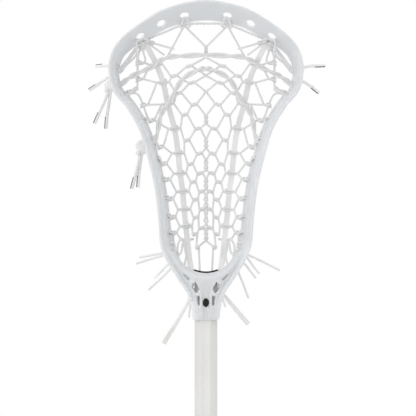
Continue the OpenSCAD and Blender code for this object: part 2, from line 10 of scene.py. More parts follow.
import bmesh
import bpy
from mathutils import Vector
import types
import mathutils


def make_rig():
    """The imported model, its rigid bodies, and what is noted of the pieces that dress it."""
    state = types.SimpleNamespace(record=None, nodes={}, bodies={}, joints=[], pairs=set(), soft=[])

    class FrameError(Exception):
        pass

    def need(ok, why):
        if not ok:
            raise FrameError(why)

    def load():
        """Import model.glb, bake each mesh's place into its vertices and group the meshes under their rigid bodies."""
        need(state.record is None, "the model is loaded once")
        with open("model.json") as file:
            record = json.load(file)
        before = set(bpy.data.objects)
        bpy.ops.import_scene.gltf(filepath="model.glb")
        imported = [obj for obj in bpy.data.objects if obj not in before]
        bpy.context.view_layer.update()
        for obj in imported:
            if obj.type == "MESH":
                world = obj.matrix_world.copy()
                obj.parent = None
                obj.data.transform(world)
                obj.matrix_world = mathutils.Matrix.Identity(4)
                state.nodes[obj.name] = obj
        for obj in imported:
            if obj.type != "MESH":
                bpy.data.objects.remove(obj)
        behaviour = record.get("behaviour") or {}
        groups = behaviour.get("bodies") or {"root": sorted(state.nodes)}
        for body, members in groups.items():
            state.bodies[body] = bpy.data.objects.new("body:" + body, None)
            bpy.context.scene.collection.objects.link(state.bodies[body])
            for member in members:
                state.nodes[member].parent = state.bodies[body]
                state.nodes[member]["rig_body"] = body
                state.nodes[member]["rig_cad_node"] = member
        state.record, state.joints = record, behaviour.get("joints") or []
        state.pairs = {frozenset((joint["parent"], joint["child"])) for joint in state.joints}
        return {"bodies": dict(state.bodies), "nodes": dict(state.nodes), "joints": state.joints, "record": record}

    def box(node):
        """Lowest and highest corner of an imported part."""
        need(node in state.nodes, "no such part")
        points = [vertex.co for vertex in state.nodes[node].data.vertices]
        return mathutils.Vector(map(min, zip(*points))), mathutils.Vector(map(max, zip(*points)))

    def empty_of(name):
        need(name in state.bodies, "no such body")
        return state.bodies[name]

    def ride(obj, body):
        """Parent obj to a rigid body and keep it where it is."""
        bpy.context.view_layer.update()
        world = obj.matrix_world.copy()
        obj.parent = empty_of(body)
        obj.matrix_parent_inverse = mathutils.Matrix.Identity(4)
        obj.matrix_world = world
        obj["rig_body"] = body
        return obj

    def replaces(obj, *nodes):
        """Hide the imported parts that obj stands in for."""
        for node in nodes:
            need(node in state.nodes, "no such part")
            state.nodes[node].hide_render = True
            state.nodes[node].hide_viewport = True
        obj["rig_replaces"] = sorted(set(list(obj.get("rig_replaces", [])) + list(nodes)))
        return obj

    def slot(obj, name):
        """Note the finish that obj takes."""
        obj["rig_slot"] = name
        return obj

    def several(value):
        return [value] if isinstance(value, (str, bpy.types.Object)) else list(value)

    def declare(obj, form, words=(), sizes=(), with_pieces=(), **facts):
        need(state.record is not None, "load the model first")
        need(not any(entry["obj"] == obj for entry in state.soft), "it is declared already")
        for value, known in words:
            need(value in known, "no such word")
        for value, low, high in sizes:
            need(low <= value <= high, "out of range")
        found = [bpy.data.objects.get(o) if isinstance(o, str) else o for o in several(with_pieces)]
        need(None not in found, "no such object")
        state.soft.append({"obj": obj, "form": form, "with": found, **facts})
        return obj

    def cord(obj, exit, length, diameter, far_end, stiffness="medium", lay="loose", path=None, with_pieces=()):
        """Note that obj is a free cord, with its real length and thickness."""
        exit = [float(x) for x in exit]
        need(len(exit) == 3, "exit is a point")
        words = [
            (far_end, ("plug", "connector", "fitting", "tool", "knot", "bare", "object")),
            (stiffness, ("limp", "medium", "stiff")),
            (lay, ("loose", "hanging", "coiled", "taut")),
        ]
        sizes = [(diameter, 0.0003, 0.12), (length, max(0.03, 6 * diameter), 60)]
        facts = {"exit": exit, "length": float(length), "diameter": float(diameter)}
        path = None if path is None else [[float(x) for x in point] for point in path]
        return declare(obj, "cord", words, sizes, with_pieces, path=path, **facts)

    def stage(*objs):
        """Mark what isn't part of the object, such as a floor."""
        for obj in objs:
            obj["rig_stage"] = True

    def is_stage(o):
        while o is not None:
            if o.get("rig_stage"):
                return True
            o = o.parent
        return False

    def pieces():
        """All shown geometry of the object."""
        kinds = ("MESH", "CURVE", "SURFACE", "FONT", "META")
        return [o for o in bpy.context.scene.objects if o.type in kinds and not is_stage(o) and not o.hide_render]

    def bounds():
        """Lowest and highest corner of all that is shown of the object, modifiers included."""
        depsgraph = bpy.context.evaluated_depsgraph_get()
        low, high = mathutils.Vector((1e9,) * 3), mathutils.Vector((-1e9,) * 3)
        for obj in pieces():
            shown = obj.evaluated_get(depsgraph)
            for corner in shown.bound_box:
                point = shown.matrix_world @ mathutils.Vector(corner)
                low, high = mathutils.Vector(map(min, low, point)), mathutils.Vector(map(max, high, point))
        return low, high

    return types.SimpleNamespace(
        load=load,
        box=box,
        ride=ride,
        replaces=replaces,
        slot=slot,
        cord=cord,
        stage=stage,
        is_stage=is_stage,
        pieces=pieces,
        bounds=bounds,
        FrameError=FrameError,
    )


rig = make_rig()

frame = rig.load()
cad_low, cad_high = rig.bounds()

MM = 0.001
HEAD_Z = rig.box("head")[0][2]       # height of the socket's mouth


def place(p):
    """A point of the head's frame, in metres in the row frame."""
    return Vector((p[0] * MM, p[1] * MM, HEAD_Z + p[2] * MM))


# ---- camera and light ----

CAMERA_GAP = 2.5        # metres from the camera to the head
WIDTH_SEEN = 0.4035     # metres across the picture at the head
FRONT_LIGHT = 0.26      # light from the camera's side
SIDE_LIGHT = 1.3        # light from the sides
BACK_LIGHT = 0.6        # share of it that comes from behind
BELOW_LIGHT = 0.95      # share of the light that comes from below
SIDE_LAMP = 3           # watts
FRONT_SUN = 0.55        # watts per square metre, from behind the camera
FLOOR_GAP = 40          # how far the floor lies below the butt end, to keep the pulled cap in sight
REFLECTION_BAND_AT = 0.33          # where the painted dark reflection band on a lace tip lies, as a share of a turn


class Graph:
    """Short ways to add nodes to a node tree."""

    def __init__(self, tree):
        self.tree = tree

    def add(self, kind, inputs=None, **settings):
        node = self.tree.nodes.new(kind)
        for name, value in settings.items():
            setattr(node, name, value)
        for name, value in (inputs or {}).items():
            if isinstance(value, bpy.types.NodeSocket):
                self.tree.links.new(value, node.inputs[name])
            else:
                node.inputs[name].default_value = value
        return node

    def maths(self, operation, *values):
        return self.add("ShaderNodeMath", dict(enumerate(values)), operation=operation).outputs[0]

    def spread(self, value, low, high, new_low, new_high):
        """Maps a range of values onto another, and stops at its ends."""
        return self.add("ShaderNodeMapRange", {
            "Value": value, "From Min": low, "From Max": high, "To Min": new_low, "To Max": new_high,
        }).outputs[0]

    def mix(self, share, a, b):
        return self.add("ShaderNodeMix", {0: share, 6: a, 7: b}, data_type="RGBA").outputs[2]

    def noise(self, where, scale, detail=3.0):
        inputs = {"Vector": where, "Scale": scale, "Detail": detail}
        return self.add("ShaderNodeTexNoise", inputs).outputs["Fac"]

    def split(self, vector):
        return self.add("ShaderNodeSeparateXYZ", {0: vector}).outputs

    def run(self):
        """The UV map of a cord: share of a turn in X, millimetres along it in Y."""
        return self.split(self.add("ShaderNodeUVMap", uv_map="run").outputs[0])

    def scaled(self, colours, level):
        return self.add("ShaderNodeVectorMath", {0: colours, 3: level}, operation="SCALE").outputs[0]


def make_camera():
    """Looks square at the open face of the head, from far enough to flatten it."""
    data = bpy.data.cameras.new("camera")
    data.sensor_width = 36
    data.lens = data.sensor_width * CAMERA_GAP / WIDTH_SEEN
    camera = bpy.data.objects.new("camera", data)
    bpy.context.scene.collection.objects.link(camera)
    camera.location = place((2, 0, 108.3)) + Vector((0, -CAMERA_GAP, 0))
    camera.rotation_euler = (math.radians(90), 0, 0)
    bpy.context.scene.camera = camera


def make_world():
    """A white studio: bright at the sides, dimmer in front, behind and from below."""
    world = bpy.data.worlds.new("studio")
    bpy.context.scene.world = world
    world.use_nodes = True
    world.node_tree.nodes.clear()
    graph = Graph(world.node_tree)
    direction = graph.split(graph.add("ShaderNodeTexCoord").outputs["Generated"])
    front = graph.spread(direction["Y"], -0.95, -0.2, FRONT_LIGHT, SIDE_LIGHT)
    below = graph.spread(direction["Z"], -0.9, 0.1, BELOW_LIGHT, 1.0)
    back = graph.spread(direction["Y"], 0.1, 0.9, 1.0, BACK_LIGHT)
    level = graph.maths("MULTIPLY", graph.maths("MULTIPLY", front, back), below)
    lit = graph.add("ShaderNodeBackground", {"Color": (1, 1, 1, 1), "Strength": level}).outputs[0]
    seen = graph.add("ShaderNodeBackground", {"Color": (1, 1, 1, 1), "Strength": 1.0}).outputs[0]
    to_camera = graph.add("ShaderNodeLightPath").outputs["Is Camera Ray"]
    pick = graph.add("ShaderNodeMixShader", {0: to_camera, 1: lit, 2: seen}).outputs[0]
    graph.add("ShaderNodeOutputWorld", {0: pick})


def make_lamp(name, kind, energy):
    thing = bpy.data.objects.new(name, bpy.data.lights.new(name, kind))
    thing.data.energy = energy
    bpy.context.scene.collection.objects.link(thing)
    return thing


def make_lamps():
    """A soft lamp to the left and above, and a weak wide sun behind the camera."""
    side = make_lamp("side_lamp", "AREA", SIDE_LAMP)
    side.data.shape = "DISK"
    side.data.size = 1.2
    side.location = place((-900, -1100, 900))
    side.rotation_euler = (place((0, 0, 120)) - side.location).to_track_quat("-Z", "Y").to_euler()
    sun = make_lamp("front_sun", "SUN", FRONT_SUN)
    sun.data.angle = math.radians(30)
    sun.rotation_euler = (math.radians(84), 0, math.radians(-6))


def make_floor():
    """A plain pale disc below the stick."""
    at_floor = (0, 0, -FLOOR_GAP * MM)
    bpy.ops.mesh.primitive_circle_add(vertices=96, radius=1.4, fill_type="NGON", location=at_floor)
    floor = bpy.context.object
    floor.name = "floor"
    floor.data.materials.append(surface("floor_paper", (0.88, 0.88, 0.88), 0.9, 1.0, 0.05))
    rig.stage(floor)


# ---- materials ----

def shade(colour, factor):
    return (*[min(c * factor, 1) for c in colour], 1)


def surface(name, colour, roughness, grain, bump, tint=0.05, metallic=0.0, specular=0.5, painted_facet_shade=1.0,
            soft=0.0, seam=1.0):
    """A surface with a fine bump, slight colour clouds and patchy gloss. Grain and bump are in millimetres.

    painted_facet_shade paints shade on every second side of an eight-sided tube that stands on the origin, for the
    light that falls differently on its flats. soft lets light through the first few millimetres.
    seam paints a dark reflection as a band along one side of a tube.
    """
    material = bpy.data.materials.new(name)
    material.use_nodes = True
    graph = Graph(material.node_tree)
    shader = material.node_tree.nodes["Principled BSDF"]
    where = graph.add("ShaderNodeTexCoord").outputs["Object"]
    cloud = graph.spread(graph.noise(where, 45.0), 0.3, 0.7, 0, 1)
    fine = graph.noise(where, 1 / (grain * MM), 2.0)
    colours = graph.mix(cloud, shade(colour, 1 - tint), shade(colour, 1 + tint / 3))
    # Painted shade: every second flat is darkened, standing in for the light falling differently on the flats.
    if painted_facet_shade < 1:
        spot = graph.split(where)
        turn = graph.maths("MULTIPLY", graph.maths("ARCTAN2", spot["Y"], spot["X"]), 4.0)
        colours = graph.scaled(colours, graph.spread(graph.maths("COSINE", turn), -0.15, 0.15, painted_facet_shade, 1))
    # Painted reflection: a dark band along one side of a tube, standing in for the dark reflection along a glossy lace
    # tip.
    if seam < 1:
        off = graph.maths("ABSOLUTE", graph.maths("SUBTRACT", graph.run()["X"], REFLECTION_BAND_AT))
        colours = graph.scaled(colours, graph.spread(off, 0.085, 0.11, seam, 1))
    graph.tree.links.new(colours, shader.inputs["Base Color"])
    patchy = graph.spread(graph.noise(where, 160.0), 0.3, 0.7, roughness * 0.85, roughness * 1.2)
    graph.tree.links.new(patchy, shader.inputs["Roughness"])
    relief = graph.add("ShaderNodeBump", {"Height": fine, "Strength": 0.5, "Distance": bump * MM})
    graph.tree.links.new(relief.outputs[0], shader.inputs["Normal"])
    shader.inputs["Metallic"].default_value = metallic
    shader.inputs["Specular IOR Level"].default_value = specular
    shader.inputs["Subsurface Weight"].default_value = soft
    shader.inputs["Subsurface Radius"].default_value = (1, 1, 1)
    shader.inputs["Subsurface Scale"].default_value = 3 * MM
    return material


def braid(name, colour, pitch, plaits, depth, painted_crease_shade=0.9):
    """Braided cord: two sets of strands that cross along the cord, with painted shade in the valleys between them.
    Pitch and depth are in millimetres.
    """
    material = bpy.data.materials.new(name)
    material.use_nodes = True
    graph = Graph(material.node_tree)
    shader = material.node_tree.nodes["Principled BSDF"]
    run = graph.run()
    around = graph.maths("MULTIPLY", run["X"], math.tau * plaits)
    along = graph.maths("MULTIPLY", run["Y"], math.tau / pitch)
    one = graph.maths("SINE", graph.maths("ADD", around, along))
    other = graph.maths("SINE", graph.maths("SUBTRACT", around, along))
    height = graph.maths("MAXIMUM", one, other)
    where = graph.add("ShaderNodeTexCoord").outputs["Object"]
    fuzz = graph.noise(where, 2500.0, 2.0)
    # Painted shade: the colour darkens in the valleys between the strands.
    colours = graph.mix(graph.spread(height, -0.4, 0.5, 0, 1), shade(colour, painted_crease_shade), shade(colour, 1))
    dust = graph.spread(graph.noise(where, 60.0), 0.35, 0.75, 0, 0.12)
    dusty = graph.mix(dust, colours, shade(colour, 0.8))
    graph.tree.links.new(dusty, shader.inputs["Base Color"])
    rough = graph.spread(fuzz, 0.2, 0.8, 0.6, 0.85)
    graph.tree.links.new(rough, shader.inputs["Roughness"])
    height = graph.maths("ADD", height, graph.maths("MULTIPLY", fuzz, 0.4))
    relief = graph.add("ShaderNodeBump", {"Height": height, "Strength": 0.6, "Distance": depth * MM})
    graph.tree.links.new(relief.outputs[0], shader.inputs["Normal"])
    shader.inputs["Specular IOR Level"].default_value = 0.3
    return material


# How each material is made: the function, the colour and the function's other settings
FINISH = {
    "head_plastic": (surface, (0.77, 0.785, 0.8),
                     dict(roughness=0.34, grain=0.5, bump=0.03, tint=0.03, soft=0.5)),
    # The shaft's diagonal flats get painted shade.
    "shaft_paint": (surface, (0.855, 0.85, 0.83),
                    dict(roughness=0.4, grain=0.25, bump=0.012, tint=0.03, painted_facet_shade=0.87)),
    "cap_rubber": (surface, (0.82, 0.82, 0.81), dict(roughness=0.62, grain=0.35, bump=0.06, specular=0.3)),
    "screw_steel": (surface, (0.62, 0.62, 0.64), dict(roughness=0.3, grain=0.15, bump=0.01, metallic=1.0)),
    "stop_rubber": (surface, (0.022, 0.022, 0.024),
                    dict(roughness=0.75, grain=0.6, bump=0.15, tint=0.3, specular=0.25)),
    "inlay_plastic": (surface, (0.02, 0.018, 0.015),
                      dict(roughness=0.5, grain=0.4, bump=0.02, tint=0.3, specular=0.15)),
    "thong_leather": (surface, (0.93, 0.93, 0.92), dict(roughness=0.6, grain=0.45, bump=0.08, tint=0.1)),
    # The lace tips carry a painted dark reflection band along one side.
    "aglet_plastic": (surface, (0.9, 0.9, 0.9),
                      dict(roughness=0.18, grain=0.5, bump=0.02, tint=0.06, seam=0.12)),
    "string_fabric": (braid, (0.9, 0.9, 0.9), dict(pitch=1.3, plaits=3, depth=0.07)),
    "lace_fabric": (braid, (0.89, 0.89, 0.885), dict(pitch=2.2, plaits=4, depth=0.12)),
}
made_finishes = {}


def finish_of(slot):
    if slot not in made_finishes:
        maker, colour, settings = FINISH[slot]
        made_finishes[slot] = maker(slot + "_look", colour, **settings)
    return made_finishes[slot]


def add_piece(thing, slot, body, *nodes):
    """Gives a piece its material, its body and the CAD nodes that it stands for."""
    thing.data.materials.clear()
    thing.data.materials.append(finish_of(slot))
    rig.ride(thing, body)
    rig.slot(thing, slot)
    if nodes:
        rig.replaces(thing, *nodes)
    return thing


# ---- curves ----

def at(values, i):
    return values[min(max(i, 0), len(values) - 1)]


def curve_at(values, s):
    """A smooth curve through rows of numbers, at row number s."""
    i = math.floor(s)
    t = s - i
    rows = zip(at(values, i - 1), at(values, i), at(values, i + 1), at(values, i + 2))
    return [b + 0.5 * t * ((c - a) + t * ((2 * a - 5 * b + 4 * c - d) + t * (3 * (b - c) + d - a)))
            for a, b, c, d in rows]


def smooth(values, steps):
    """The curve through the rows, with that many steps from row to row."""
    return [curve_at(values, k / steps) for k in range(steps * (len(values) - 1) + 1)]


def both_halves(half):
    """A half line that ends in the middle, joined to its mirror image."""
    return half + [[-row[0], *row[1:]] for row in reversed(half[:-1])]


def rounded(outline, times):
    """Cuts the corners of a closed outline, again and again."""
    for _ in range(times):
        cut = []
        for a, b in zip(outline, outline[1:] + outline[:1]):
            cut.append([0.75 * p + 0.25 * q for p, q in zip(a, b)])
            cut.append([0.25 * p + 0.75 * q for p, q in zip(a, b)])
        outline = cut
    return outline


# ---- mesh building ----

def mesh_object(name, points, faces, runs=None):
    """A smooth mesh whose faces all look outwards. runs holds the corners of the UV map, face by face."""
    mesh = bpy.data.meshes.new(name)
    mesh.from_pydata([tuple(p) for p in points], [], faces)
    if runs:
        layer = mesh.uv_layers.new(name="run")
        layer.data.foreach_set("uv", [value for face in runs for corner in face for value in corner])
    shape = bmesh.new()
    shape.from_mesh(mesh)
    bmesh.ops.recalc_face_normals(shape, faces=shape.faces)
    shape.to_mesh(mesh)
    shape.free()
    mesh.shade_smooth()
    made = bpy.data.objects.new(name, mesh)
    bpy.context.scene.collection.objects.link(made)
    return made


def skin(name, rings, closed=False):
    """Joins rings of the same number of points into a solid."""
    n, m = len(rings[0]), len(rings)
    faces = []
    for j in range(m if closed else m - 1):
        for k in range(n):
            a, b = j * n + k, j * n + (k + 1) % n
            c, d = (b + n) % (n * m), (a + n) % (n * m)
            faces.append((a, b, c, d))
    if not closed:
        faces.append(tuple(reversed(range(n))))
        faces.append(tuple(range((m - 1) * n, m * n)))
    return mesh_object(name, [p for ring in rings for p in ring], faces)


def prism(name, outline, y_low, y_high):
    """An outline drawn as x and height, run from y_low to y_high."""
    area = sum(a[0] * b[1] - b[0] * a[1] for a, b in zip(outline, outline[1:] + outline[:1]))
    points = outline if area < 0 else outline[::-1]
    return skin(name, [[place((x, y, u)) for x, u in points] for y in (y_low, y_high)])


def apply_modifiers(thing):
    """Turns what the modifiers make into the object's own mesh."""
    bpy.context.view_layer.update()
    made = bpy.data.meshes.new_from_object(thing.evaluated_get(bpy.context.evaluated_depsgraph_get()))
    old = thing.data
    thing.modifiers.clear()
    thing.data = made
    bpy.data.meshes.remove(old)


def combine(target, other, operation):
    """Joins, cuts or intersects target with other, which is used up."""
    boolean = target.modifiers.new("combine", "BOOLEAN")
    boolean.object = other
    boolean.operation = operation
    boolean.solver = "MANIFOLD"
    apply_modifiers(target)
    bpy.data.objects.remove(other)


# ---- head ----

# Half of the rim, from the throat to the tip of the scoop. Each row: half width, height, wall width seen
# from the front, front y, back y, scoop share
RIM = [
    [15.0, 19, 9, -13, 13, 0], [20.2, 29, 10, -13.2, 14, 0], [26.8, 38.5, 11.5, -13.2, 15.5, 0],
    [38.6, 58, 12.2, -12.4, 18.5, 0], [44.6, 74, 12.2, -11, 22, 0], [46.6, 98, 11.6, -9.5, 26, 0],
    [50, 127, 11.2, -8, 29, 0], [56.4, 155, 11, -7, 31, 0], [65, 184, 10.4, -6.5, 31, 0],
    [78, 206.5, 10, -6.5, 29, 0], [90, 221, 9.8, -7, 26, 0], [94.8, 241, 10, -8.5, 22, 0.1],
    [91.6, 259, 11, -10, 18.5, 0.6], [81, 274, 13, -12, 15, 0.9], [61.3, 289, 15.4, -14, 11, 1],
    [36.6, 302.5, 17, -15.5, 8, 1], [0, 309.5, 18, -16, 7, 1],
]
FULL_RIM = both_halves(RIM)
SLOTS = [2.6, 3.3, 3.9, 4.5, 5.1, 5.7, 6.3, 7.05, 7.7, 8.4, 9.45, 10, 10.75, 11.35]
SCOOP_HOLES = [13.62, 14.55, 15.38]
SLOT_SHIFT = 9.5        # how far the slots lie in front of the sidewall's back edge
HOLE_R = 4.35
HOLE_TURN = 0.6         # how far each scoop hole's axis is turned from the plate's normal towards the front
HOLE_SHARE = 0.61       # how far across the scoop's plate its holes lie
STOP_R = 31             # radius of the ball stop's bottom
STOP_U = 45.2           # its lowest height
SOCKET_AF = 22.5        # across the flats
SOCKET_DEPTH = 38.5
SCREW_U = 17
AHEAD = -30             # a y in front of the whole head
VOXEL = 0.6


def rim_out(s):
    """Outward direction of the rim, in x, y and u."""
    a, b = curve_at(FULL_RIM, s - 0.02), curve_at(FULL_RIM, s + 0.02)
    t = Vector((b[0] - a[0], b[1] - a[1])).normalized()
    return Vector((t.y, 0, -t.x))


def rim_point(s, n, y):
    p = curve_at(FULL_RIM, s)
    return Vector((p[0], y, p[1])) + n * rim_out(s)


def wall_section(w, f, b):
    """Section of the sidewall: a front rail, a shallow groove, a thin slanted wall and a back rail."""
    return [
        (-1.1, f), (0, f + 1.3), (0, f + 4.6), (-1.9, f + 6.6),
        (5.2 - w, b - 7), (6 - w, b - 5), (6 - w, b - 1.3), (4.8 - w, b),
        (1.2 - w, b), (-w, b - 1.3), (-w, b - 5), (2.2 - w, b - 7),
        (-6, f + 3), (-4.5, f + 4.9), (-3.1, f + 1.2), (-2.3, f),
    ]


# Section of the scoop: share of the plate's width, and offset from its middle
SCOOP_SECTION = [
    (0.03, -1.2), (0, 0), (0.03, 1.3), (0.2, 1.7), (0.75, 1.7), (0.88, 2), (0.97, 1.6), (1, 0.8),
    (1, -0.4), (0.985, -1), (0.9, -1.5), (0.7, -1.6), (0.4, -1.6), (0.2, -1.6), (0.1, -1.5), (0.05, -1.4),
]


def scoop_section(w, f, b):
    d = b - f
    n = math.hypot(w, d)
    return [(-w * a + o * d / n - 0.6, f + d * a + o * w / n) for a, o in SCOOP_SECTION]


def rim_ring(s):
    _, _, w, f, b, share = curve_at(FULL_RIM, s)
    share = min(max(share, 0), 1)
    outline = [[(1 - share) * p + share * q for p, q in zip(a, c)]
               for a, c in zip(wall_section(w, f, b), scoop_section(w, f, b))]
    return [place(rim_point(s, n, y)) for n, y in rounded(outline, 1)]


# Throat of the head. Each row: height, half width, front y, back y
THROAT = [
    [0, 12.7, -12.8, 12.8], [4.6, 13.8, -13.4, 13.4], [4.9, 13.4, -13, 13], [10, 14.2, -13, 13],
    [19, 16.1, -13, 13.2], [29, 20, -12.9, 13.8], [38.5, 26.4, -12.7, 15], [48, 32.8, -12.4, 16.5],
    [58, 37.8, -11.8, 18], [66, 40.8, -11, 19.5],
]
UPPER_WINDOW = [[10.8, 38.2], [6.2, 30.2], [9.2, 25], [15, 32.6]]
UPPER_FLOOR = [[10.6, 37.6], [6.6, 30.2], [9.2, 25.6], [13.2, 32.1]]
LOWER_WINDOW = [[10.4, 24.4], [5.6, 23.4], [5.7, 14.6], [7.6, 12.2], [9.3, 17]]
LOWER_FLOOR = [[7.8, 22.8], [5.8, 22.6], [5.8, 15.4], [7, 14], [7.4, 17]]
GROOVE = [[28.5, 50.4], [19.4, 43.8], [14.4, 39.6], [16.8, 37.2], [20.8, 41.2]]
GROOVE_FLOOR = [[24.5, 47], [19.4, 43], [15.4, 39.4], [16.6, 38.1], [19.9, 41.4]]


def oval_ring(u, w, f, b, count=48, power=0.62):
    ring = []
    for k in range(count):
        c, s = math.cos(math.tau * k / count), math.sin(math.tau * k / count)
        x = w * math.copysign(abs(c) ** power, c)
        y = (f + b) / 2 + (b - f) / 2 * math.copysign(abs(s) ** power, s)
        ring.append(place((x, y, u)))
    return ring


def arc_outline(radius, centre_u, half, top, count=40):
    """A round bottom that opens into straight sides."""
    turns = [math.pi * (1 + k / count) for k in range(count + 1)]
    arc = [(radius * math.cos(q), centre_u + radius * math.sin(q)) for q in turns]
    return [(-half, top)] + [(-half, centre_u + 8)] + arc + [(half, centre_u + 8), (half, top)]


def ball_room():
    """The room in front of the ball stop, wider at the front."""
    centre = STOP_U + STOP_R
    back = arc_outline(STOP_R, centre, 34.3, 100)
    front = arc_outline(STOP_R + 5.6, centre + 2, 41, 100)
    return skin("ball_room", [[place((x, y, u)) for x, u in reversed(outline)]
                              for outline, y in ((front, -40), (front, -11), (back, 0), (back, 40))])


def octagon(af, u_low, u_high):
    r = af / 2 / math.cos(math.pi / 8)
    turns = [math.pi * (k + 0.5) / 4 for k in range(8)]
    rings = [[place((r * math.cos(q), r * math.sin(q), u)) for q in turns] for u in (u_low, u_high)]
    return skin("octagon", rings)


def round_bar(a, b, radius, count=32):
    """A round bar from a to b."""
    axis = (b - a).normalized()
    side = axis.orthogonal().normalized()
    up = axis.cross(side)
    turns = [math.tau * k / count for k in range(count)]
    spokes = [radius * (math.cos(q) * side + math.sin(q) * up) for q in turns]
    return skin("bar", [[place(p + spoke) for spoke in spokes] for p in (a, b)])


def wall_slot(s):
    """A round-ended cutter for one sidewall slot, along the rim."""
    r = curve_at(FULL_RIM, s)
    out = rim_out(s)
    along = Vector((-out.z, 0, out.x))
    half, radius = 1, 1.3
    rings = []
    for n in (4, -r[2] - 4):
        centre = rim_point(s, n, r[4] - SLOT_SHIFT)
        ring = []
        for k in range(24):
            q = math.tau * k / 24
            reach = math.copysign(half, math.cos(q)) + radius * math.cos(q)
            ring.append(place(centre + along * reach + Vector((0, radius * math.sin(q), 0))))
        rings.append(ring)
    return skin("slot", rings)


def scoop_hole(s):
    """A round cutter for one hole in the scoop's plate."""
    r = curve_at(FULL_RIM, s)
    out = rim_out(s)
    depth = r[4] - r[3]
    axis = Vector((depth * out.x, r[2], depth * out.z)).normalized()
    axis = (axis + Vector((0, HOLE_TURN, 0))).normalized()
    centre = rim_point(s, -HOLE_SHARE * r[2] - 0.6, r[3] + HOLE_SHARE * depth)
    return round_bar(centre - 8 * axis, centre + 8 * axis, HOLE_R)


# On the throat's face, as half width and height: the outline of the sunken panel in its middle, and the
# lines of the raised lip beside it and of the bridges above the windows
PANEL = [[4.2, 10.5], [4.2, 24.5], [6.6, 28], [9.2, 37.6], [13, 40.2], [10, 41.6]]
LIP = [[4.9, 11.5], [4.8, 17], [4.9, 24.5], [6.4, 27.6]]
BRIDGES = [[[5.4, 26.4], [9.2, 23.9]], [[10.6, 38.2], [15, 35.5]]]


def front_rib(points, radius):
    """A raised rib along the throat's front face, with round ends."""
    rings = []
    path = smooth([list(p) for p in points], 6)
    last = len(path) - 1
    turns = [math.tau * k / 12 for k in range(12)]
    for i, (x, u) in enumerate(path):
        a, b = at(path, i - 1), at(path, i + 1)
        along = Vector((b[0] - a[0], 0, b[1] - a[1])).normalized()
        side = Vector((along.z, 0, -along.x))
        grow = 0.35 if i in (0, last) else 0.8 if i in (1, last - 1) else 1
        spokes = [math.cos(q) * side + Vector((0, math.sin(q), 0)) for q in turns]
        rings.append([place(Vector((x, -12.7, u)) + grow * radius * spoke) for spoke in spokes])
    return skin("rib", rings)


def mirrored_x(outline):
    return [(-x, u) for x, u in outline]


def cut_throat(head):
    """The socket, the sunken panel, the windows with their slanted mouths, and the ribs between them."""
    combine(head, octagon(SOCKET_AF, -1, SOCKET_DEPTH), "DIFFERENCE")
    combine(head, prism("panel", PANEL + mirrored_x(PANEL)[::-1], AHEAD, -12.2), "DIFFERENCE")
    combine(head, prism("facet", [(-2.6, -3), (2, -3), (2, 11), (-2.6, 11)], AHEAD, -12.15), "DIFFERENCE")
    for mouth, floor, depth in ((UPPER_WINDOW, UPPER_FLOOR, 30), (LOWER_WINDOW, LOWER_FLOOR, 30),
                                (GROOVE, GROOVE_FLOOR, -8)):
        for side in (1, -1):
            rings = [[place((side * x, y, u)) for x, u in outline]
                     for outline, y in ((mouth, AHEAD), (mouth, -13.2), (floor, -9.4), (floor, depth))]
            combine(head, skin("window", rings), "DIFFERENCE")
    for points, radius in ((LIP, 1.05), (BRIDGES[0], 1.6), (BRIDGES[1], 1.7)):
        for line in (points, mirrored_x(points)):
            combine(head, front_rib(line, radius), "UNION")


def smooth_faces(thing, iterations, group=""):
    soften = thing.modifiers.new("soften", "SMOOTH")
    soften.factor = 0.5
    soften.iterations = iterations
    soften.vertex_group = group
    apply_modifiers(thing)


def make_head():
    """The moulding: rim and throat joined, cut and ribbed, then blended and smoothed."""
    steps = 8
    last = len(FULL_RIM) - 1
    head = skin("head_shell", [rim_ring(k / steps) for k in range(steps * last + 1)])
    rows = THROAT[:3] + smooth(THROAT[3:], 4)
    throat = skin("throat", [oval_ring(*row) for row in rows])
    combine(throat, ball_room(), "DIFFERENCE")
    combine(head, throat, "UNION")
    combine(head, round_bar(Vector((0, 10, SCREW_U)), Vector((0, 14.8, SCREW_U)), 5.5), "UNION")
    cut_throat(head)
    for s in SLOTS + [last - s for s in SLOTS]:
        combine(head, wall_slot(s), "DIFFERENCE")
    for s in SCOOP_HOLES + [last - s for s in SCOOP_HOLES]:
        combine(head, scoop_hole(s), "DIFFERENCE")
    remesh = head.modifiers.new("blend", "REMESH")
    remesh.mode = "VOXEL"
    remesh.voxel_size = VOXEL * MM
    remesh.use_smooth_shade = True
    apply_modifiers(head)
    smooth_faces(head, 3)
    walls = head.vertex_groups.new(name="sidewalls")
    low, high = place((0, 0, 52)).z, place((0, 0, 262)).z
    walls.add([v.index for v in head.data.vertices if low < v.co.z < high], 1, "REPLACE")
    smooth_faces(head, 9, walls.name)
    head.data.shade_smooth()
    head.name = "head_frame"
    add_piece(head, "head_plastic", "stick", "head")


# ---- tubes of string ----

def eased(path, times=2):
    """Rounds the corners of an open line and keeps its ends."""
    for _ in range(times):
        cut = [path[0]]
        for a, b in zip(path, path[1:]):
            cut.append(a.lerp(b, 0.25))
            cut.append(a.lerp(b, 0.75))
        path = cut + [path[-1]]
    return path


def vectors(rows):
    return [Vector(row) for row in rows]


def flipped(points):
    """The mirror image of a line."""
    return [Vector((-p.x, p.y, p.z)) for p in points]


def sided(points, side):
    """A line of the right half, or its mirror image when side is -1."""
    return points if side > 0 else flipped(points)


def run_length(path):
    return sum((b - a).length for a, b in zip(path, path[1:]))


def tangent(path, i):
    return (at(path, i + 1) - at(path, i - 1)).normalized()


def square_to(t, up):
    """A direction square to t that lies as near to up as it can."""
    return (up - up.dot(t) * t).normalized()


UP = Vector((0, 1, 0))
SIDES = (("left", -1), ("right", 1))


